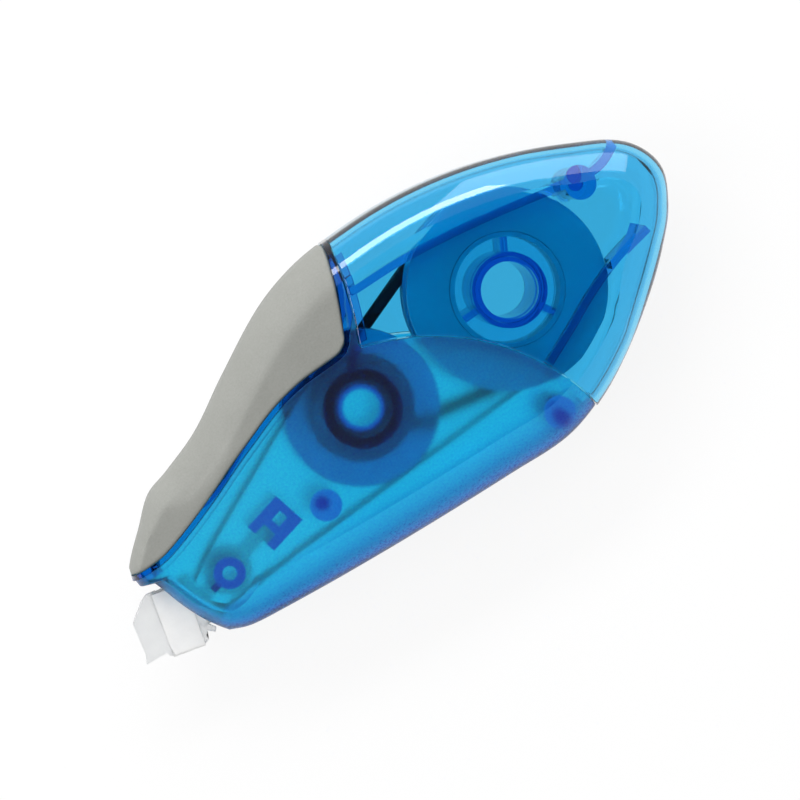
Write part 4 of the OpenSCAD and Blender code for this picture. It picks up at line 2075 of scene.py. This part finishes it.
def rounded(points: Sequence[Plan], reach: float, steps: int = 8) -> list[Plan]:
    """Rounds the corners of a line.

    Args:
        points: The line.
        reach: How far before and after a corner the rounding starts and ends.
        steps: Pieces in each rounding.

    Returns:
        The rounded line.
    """
    line = [points[0]]
    for before, corner, after in zip(points, points[1:], points[2:]):
        starts = []
        for end in (before, after):
            ux, uy = unit(end[0] - corner[0], end[1] - corner[1])
            starts.append((corner[0] + ux * reach, corner[1] + uy * reach))
        (ax, ay), (bx, by) = starts
        for i in range(steps + 1):
            t = i / steps
            a, c, b = (1 - t) ** 2, 2 * t * (1 - t), t * t
            line.append((a * ax + c * corner[0] + b * bx, a * ay + c * corner[1] + b * by))
    return [*line, points[-1]]


@dataclass
class TapeWay:
    """The free stretches of the tape between the spools and round the blade."""

    nib: Nib
    supply: Spool
    take_up: Spool
    tape_t: float = 0.2
    tape_fit: float = 0.3
    blade_fit: float = 0.05
    bend: float = 1.2
    blade_bend: float = 0.6
    feed_out: Plan = (-50.7, -18.2)
    back_in: Plan = (-51.2, -13)

    def tangent(self, start: Plan, radius: float, end: Plan, other: float) -> list[Plan]:
        """The straight line that touches two circles on their lower left.

        Args:
            start: Centre of the first circle.
            radius: Its radius.
            end: Centre of the second circle.
            other: Its radius.

        Returns:
            The two points where it touches.
        """
        dx, dy = end[0] - start[0], end[1] - start[1]
        swing = math.acos((radius - other) / math.hypot(dx, dy))
        angle = math.degrees(math.atan2(dy, dx) + swing)
        return [turned(start, radius, angle), turned(end, other, angle)]

    def ribbon(self, points: Sequence[Plan]) -> Solid:
        """A stretch of tape along a line in plan."""
        return prism(strip(rounded(points, self.bend), self.tape_t), *self.supply.tape)

    def run(self, spool: Spool, nib_end: Plan, to_nib: bool) -> Solid:
        """Builds a stretch between a roll and the nib, round the outside of the nib's eye.

        Args:
            spool: The spool that the roll is on.
            nib_end: Where the stretch ends at the nib.
            to_nib: Whether it is drawn from the roll to the nib.

        Returns:
            The stretch.
        """
        eye, end = self.nib.form.at([self.nib.eye, nib_end])
        gap = self.tape_fit + self.tape_t / 2
        at_roll = (spool.centre, spool.roll_r + gap)
        at_eye = (eye, self.nib.eye_r + self.nib.eye_t + gap)
        if to_nib:
            return self.ribbon([*self.tangent(*at_roll, *at_eye), end])
        return self.ribbon([end, *self.tangent(*at_eye, *at_roll)])

    def feed(self) -> Solid:
        """New tape on its way from the roll to the nib."""
        return self.run(self.supply, self.feed_out, True)

    def back(self) -> Solid:
        """Used carrier on its way from the nib to the roll."""
        return self.run(self.take_up, self.back_in, False)

    def round_blade(self) -> Solid:
        """The tape that lies round the blade's edge."""
        outer, inner = self.sleeve(self.blade_fit + self.tape_t), self.sleeve(self.blade_fit)
        return self.nib.placed(across([*outer, *inner[::-1]], self.nib.tape_w))

    def sleeve(self, gap: float) -> list[Plan]:
        """Draws the blade's section, moved out by a gap, with a round edge.

        Args:
            gap: How far it is moved out.

        Returns:
            The section's line from its near end round the edge to its far one.
        """
        nib, top = self.nib, self.nib.top
        side = [
            (nib.blade_l + nib.blade_in, top + gap), (nib.blade_l, top + gap),
            (nib.blade_t / 3, nib.blade_t / 2 + gap)
        ]
        middle, radius = side[-1][0], nib.blade_t / 2 + gap
        near = rounded(side, self.blade_bend)
        for degrees in range(15, 91, 15):
            sine, cosine = math.sin(math.radians(degrees)), math.cos(math.radians(degrees))
            near.append((middle - (middle + gap) * sine, radius * cosine))
        return [*near, *[(y, -z) for y, z in near[-2::-1]]]


@dataclass
class Studio:
    """Table top, soft light and camera."""

    target: Place = (0.52, -3.6, 8.0)
    roll_deg: float = 28.7
    left_deg: float = 5.5
    up_deg: float = 3.0
    distance: float = 0.5
    lens: float = 180.0
    sky_low: float = 0.5
    sky_high: float = 0.02
    sky_fade: Plan = (0.84, 0.96)
    lamps: tuple[tuple[str, Place, float, Plan, float], ...] = (
        ("key_lamp", (0.9, 0.9, -0.7), 0.6, (0.8, 0.16), 4.5),
        ("fill_lamp", (0.9, -0.3, -0.9), 0.6, (0.5, 0.5), 3.0),
        ("edge_lamp", (0.35, 0.9, 0.1), 0.7, (0.5, 0.5), 2.5)
    )
    floor_gap: float = 0.05

    def axes(self) -> tuple[Vector, Vector]:
        """Works out the picture's right and up, seen in the frame.

        Returns:
            Both directions.
        """
        angle = math.radians(self.roll_deg)
        right = Vector((math.cos(angle), -math.sin(angle), 0.0))
        return right, Vector((math.sin(angle), math.cos(angle), 0.0))

    def camera(self) -> None:
        """Sets the camera."""
        right, up = self.axes()
        away = (
            Vector((0.0, 0.0, 1.0)) - math.tan(math.radians(self.left_deg)) * right
            + math.tan(math.radians(self.up_deg)) * up
        ).normalized()
        side = up.cross(away).normalized()
        data = bpy.data.cameras.new("studio_camera")
        data.lens = self.lens
        data.sensor_width = 36.0
        data.clip_end = 10.0
        camera = bpy.data.objects.new("studio_camera", data)
        turn = Matrix((side, away.cross(side), away)).transposed().to_4x4()
        place = Vector(self.target) * MM + away * self.distance
        camera.matrix_world = Matrix.Translation(place) @ turn
        bpy.context.scene.collection.objects.link(camera)
        bpy.context.scene.camera = camera

    def lamp(self, name: str, place: Vector, size: Plan, power: float) -> None:
        """Adds a soft lamp that faces the object.

        Args:
            name: The lamp's name.
            place: Where it hangs, in metres.
            size: Its width and height, in metres.
            power: Its power, in watts.
        """
        data = bpy.data.lights.new(name, "AREA")
        data.shape = "RECTANGLE"
        data.size, data.size_y = size
        data.energy = power
        lamp = bpy.data.objects.new(name, data)
        lamp.matrix_world = (
            Matrix.Translation(place) @ place.to_track_quat("Z", "Y").to_matrix().to_4x4()
        )
        bpy.context.scene.collection.objects.link(lamp)

    def light(self) -> None:
        """Sets the sky and the lamps."""
        world = bpy.data.worlds.new("studio_sky")
        dress = Dress(world)
        height = dress.node("ShaderNodeSeparateXYZ", {}, {0: dress.place}).outputs["Z"]
        tones = [(self.sky_low,) * 3, (self.sky_high,) * 3]
        shade = dress.ramp(height, list(zip(self.sky_fade, tones)))
        back = dress.node("ShaderNodeBackground", {}, {"Color": shade, "Strength": 1.0})
        dress.tree.links.new(back.outputs[0], dress.output.inputs["Surface"])
        bpy.context.scene.world = world
        right, up = self.axes()
        above = Vector((0.0, 0.0, 1.0))
        for name, (rise, ahead, aside), reach, size, power in self.lamps:
            place = (rise * above + ahead * up + aside * right) * reach
            self.lamp(name, place, size, power)

    def floor(self) -> None:
        """Lays the table top, a hair under the casing's flat face."""
        work = bmesh.new()
        place = Matrix.Translation((0.0, 0.0, -self.floor_gap * MM))
        bmesh.ops.create_grid(work, x_segments=1, y_segments=1, size=2.0, matrix=place)
        mesh = bpy.data.meshes.new("desk_top")
        work.to_mesh(mesh)
        work.free()
        mesh.materials.append(DeskTop().material())
        floor = bpy.data.objects.new("desk_top", mesh)
        bpy.context.scene.collection.objects.link(floor)

    def set_up(self) -> None:
        """Builds the whole studio."""
        self.camera()
        self.light()
        self.floor()
        bpy.context.scene.view_settings.view_transform = "Standard"


@dataclass
class TapeRoller:
    """The whole object."""

    form: CasingForm = field(default_factory=CasingForm)
    shop: Workshop = field(default_factory=Workshop)
    edge_r: float = 0.12

    def __post_init__(self) -> None:
        """Makes the finishes and the spools' sizes."""
        self.frosted = TintedPlastic(
            "frosted_blue_plastic", rough=0.36, rough_spread=0.08, grain=0.32, depth=0.03,
            # edge and detail are painted shade colours.
            base=(0.02, 0.66, 1.0), edge=(0.0, 0.1, 0.5), inside=(0.4, 0.97, 1.0),
            detail=(0.02, 0.14, 0.55), inside_rough=0.08
        ).material()
        self.polished = TintedPlastic(
            "clear_blue_plastic", rough=0.03, rough_spread=0.02, grain=4.0, depth=0.002,
            base=(0.33, 0.78, 0.95), inside=(0.33, 0.78, 0.95)
        ).material()
        self.bearing_blue = TintedPlastic(
            "deep_spool_blue", rough=0.06, rough_spread=0.02, grain=1.0, depth=0.002,
            # detail: painted shade on the bearing ring and its spokes.
            base=(0.33, 0.78, 0.95), inside=(0.33, 0.8, 0.95), detail=(0.04, 0.46, 0.8)
        ).material()
        self.spool_blue = TintedPlastic(
            "spool_blue_plastic", rough=0.2, rough_spread=0.06, grain=1.2, depth=0.004,
            base=(0.0, 0.67, 0.98), clear=0.15
        ).material()
        self.pale_spool = TintedPlastic(
            "pale_spool_plastic", rough=0.12, rough_spread=0.06, grain=1.2, depth=0.004,
            base=(0.08, 0.76, 1.0), clear=0.85
        ).material()
        self.rubber = GripRubber().material()
        self.belt_black = BeltRubber().material()
        self.milky = NibPlastic().material()
        self.supply = SupplySpool("supply", (0.0, 0.0), 12.6, 7.6, 4.1, 10.8, 11.3)
        self.take_up = TakeUpSpool("take_up", (-22.946, -4.046), 9.8, 4.9, 2.9, 6.8, 4.9)
        self.nib = Nib(self.form)
        self.new_tape = TapeFilm(
            "new_tape_film", (0.9, 0.9, 0.89), (0.78, 0.78, 0.77), self.supply.centre
        ).material()
        self.carrier = TapeFilm(
            "used_carrier_film", (0.62, 0.7, 0.76), (0.5, 0.58, 0.64), self.take_up.centre
        ).material()
        self.blade_face = PlainFilm("new_tape_face", (0.95, 0.95, 0.94), (0.88, 0.88, 0.88)).material()
        self.new_face = PlainFilm(
            "free_tape_face", (0.95, 0.95, 0.94), (0.88, 0.88, 0.88), 0.8
        ).material()
        self.used_face = PlainFilm(
            "used_carrier_face", (0.9, 0.94, 0.97), (0.8, 0.85, 0.9), 0.8
        ).material()

    def casing(self) -> None:
        """Builds the shells, the covers and the grip."""
        borders = Borders(self.form)
        front = FrontShells(self.form, borders, self.take_up, nib=self.nib)
        rear = RearCovers(self.form, borders, self.supply)
        creased = Workshop(15.0)
        for name, make, slot, node, finish in (
            ("frosted_half_near", front.near, "frosted_blue", "front_shell_near", self.frosted),
            ("frosted_half_far", front.far, "frosted_blue", "front_shell_far", self.frosted),
            ("clear_cover_near", rear.near, "clear_blue", "rear_cover_near", self.polished),
            ("clear_cover_far", rear.far, "clear_blue", "rear_cover_far", self.polished)
        ):
            solid = make().softened(self.edge_r)
            creased.from_solid(name, solid, "casing", slot, [node], finish)
        grip = SoftGrip(self.form, borders).mesh()
        self.shop.from_work("rubber_grip", grip, "casing", "grip_rubber", ["soft_grip"], self.rubber)

    def spools(self) -> None:
        """Builds both spools and their rolls."""
        for spool, tape, slot, blue in (
            (self.supply, self.new_tape, "new_tape", self.spool_blue),
            (self.take_up, self.carrier, "used_carrier", self.pale_spool)
        ):
            title, body = spool.title, spool.body
            for part, make, mat, slot_name in (
                ("flange", spool.flange, blue, "spool_blue"),
                ("pulley", spool.pulley, blue, "spool_blue"), ("tape", spool.roll, tape, slot)
            ):
                node = f"{title}_{part}"
                self.shop.from_work(f"{node}_form", make(), body, slot_name, [node], mat)
            self.shop.from_solid(
                f"{title}_core_form", spool.core(), body, "spool_blue", [f"{title}_core"], blue
            )
        self.shop.from_solid(
            "supply_bearing_form", self.supply.bearing(), self.supply.body, "spool_blue",
            ["supply_core"], self.bearing_blue
        )

    def drive(self) -> None:
        """Builds the belt, the nib and the tape's free stretches."""
        belt = DriveBelt(self.supply, self.take_up).mesh()
        self.shop.from_work("belt_loop", belt, "casing", "belt_rubber", ["drive_belt"], self.belt_black)
        nib = self.nib.solid()
        self.shop.from_solid("nib_form", nib, "casing", "nib_plastic", ["nib"], self.milky)
        way = TapeWay(self.nib, self.supply, self.take_up)
        for node, make, slot, material in (
            ("tape_feed", way.feed, "new_tape", self.new_face),
            ("tape_blade", way.round_blade, "new_tape", self.blade_face),
            ("tape_return", way.back, "used_carrier", self.used_face)
        ):
            self.shop.from_solid(f"{node}_form", make(), "casing", slot, [node], material)


def main() -> None:
    """Builds the scene round the frame."""
    logging.basicConfig(level=logging.INFO, format="%(name)s %(message)s")
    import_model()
    Studio().set_up()
    roller = TapeRoller()
    roller.casing()
    roller.spools()
    roller.drive()


if __name__ == "__main__":
    main()
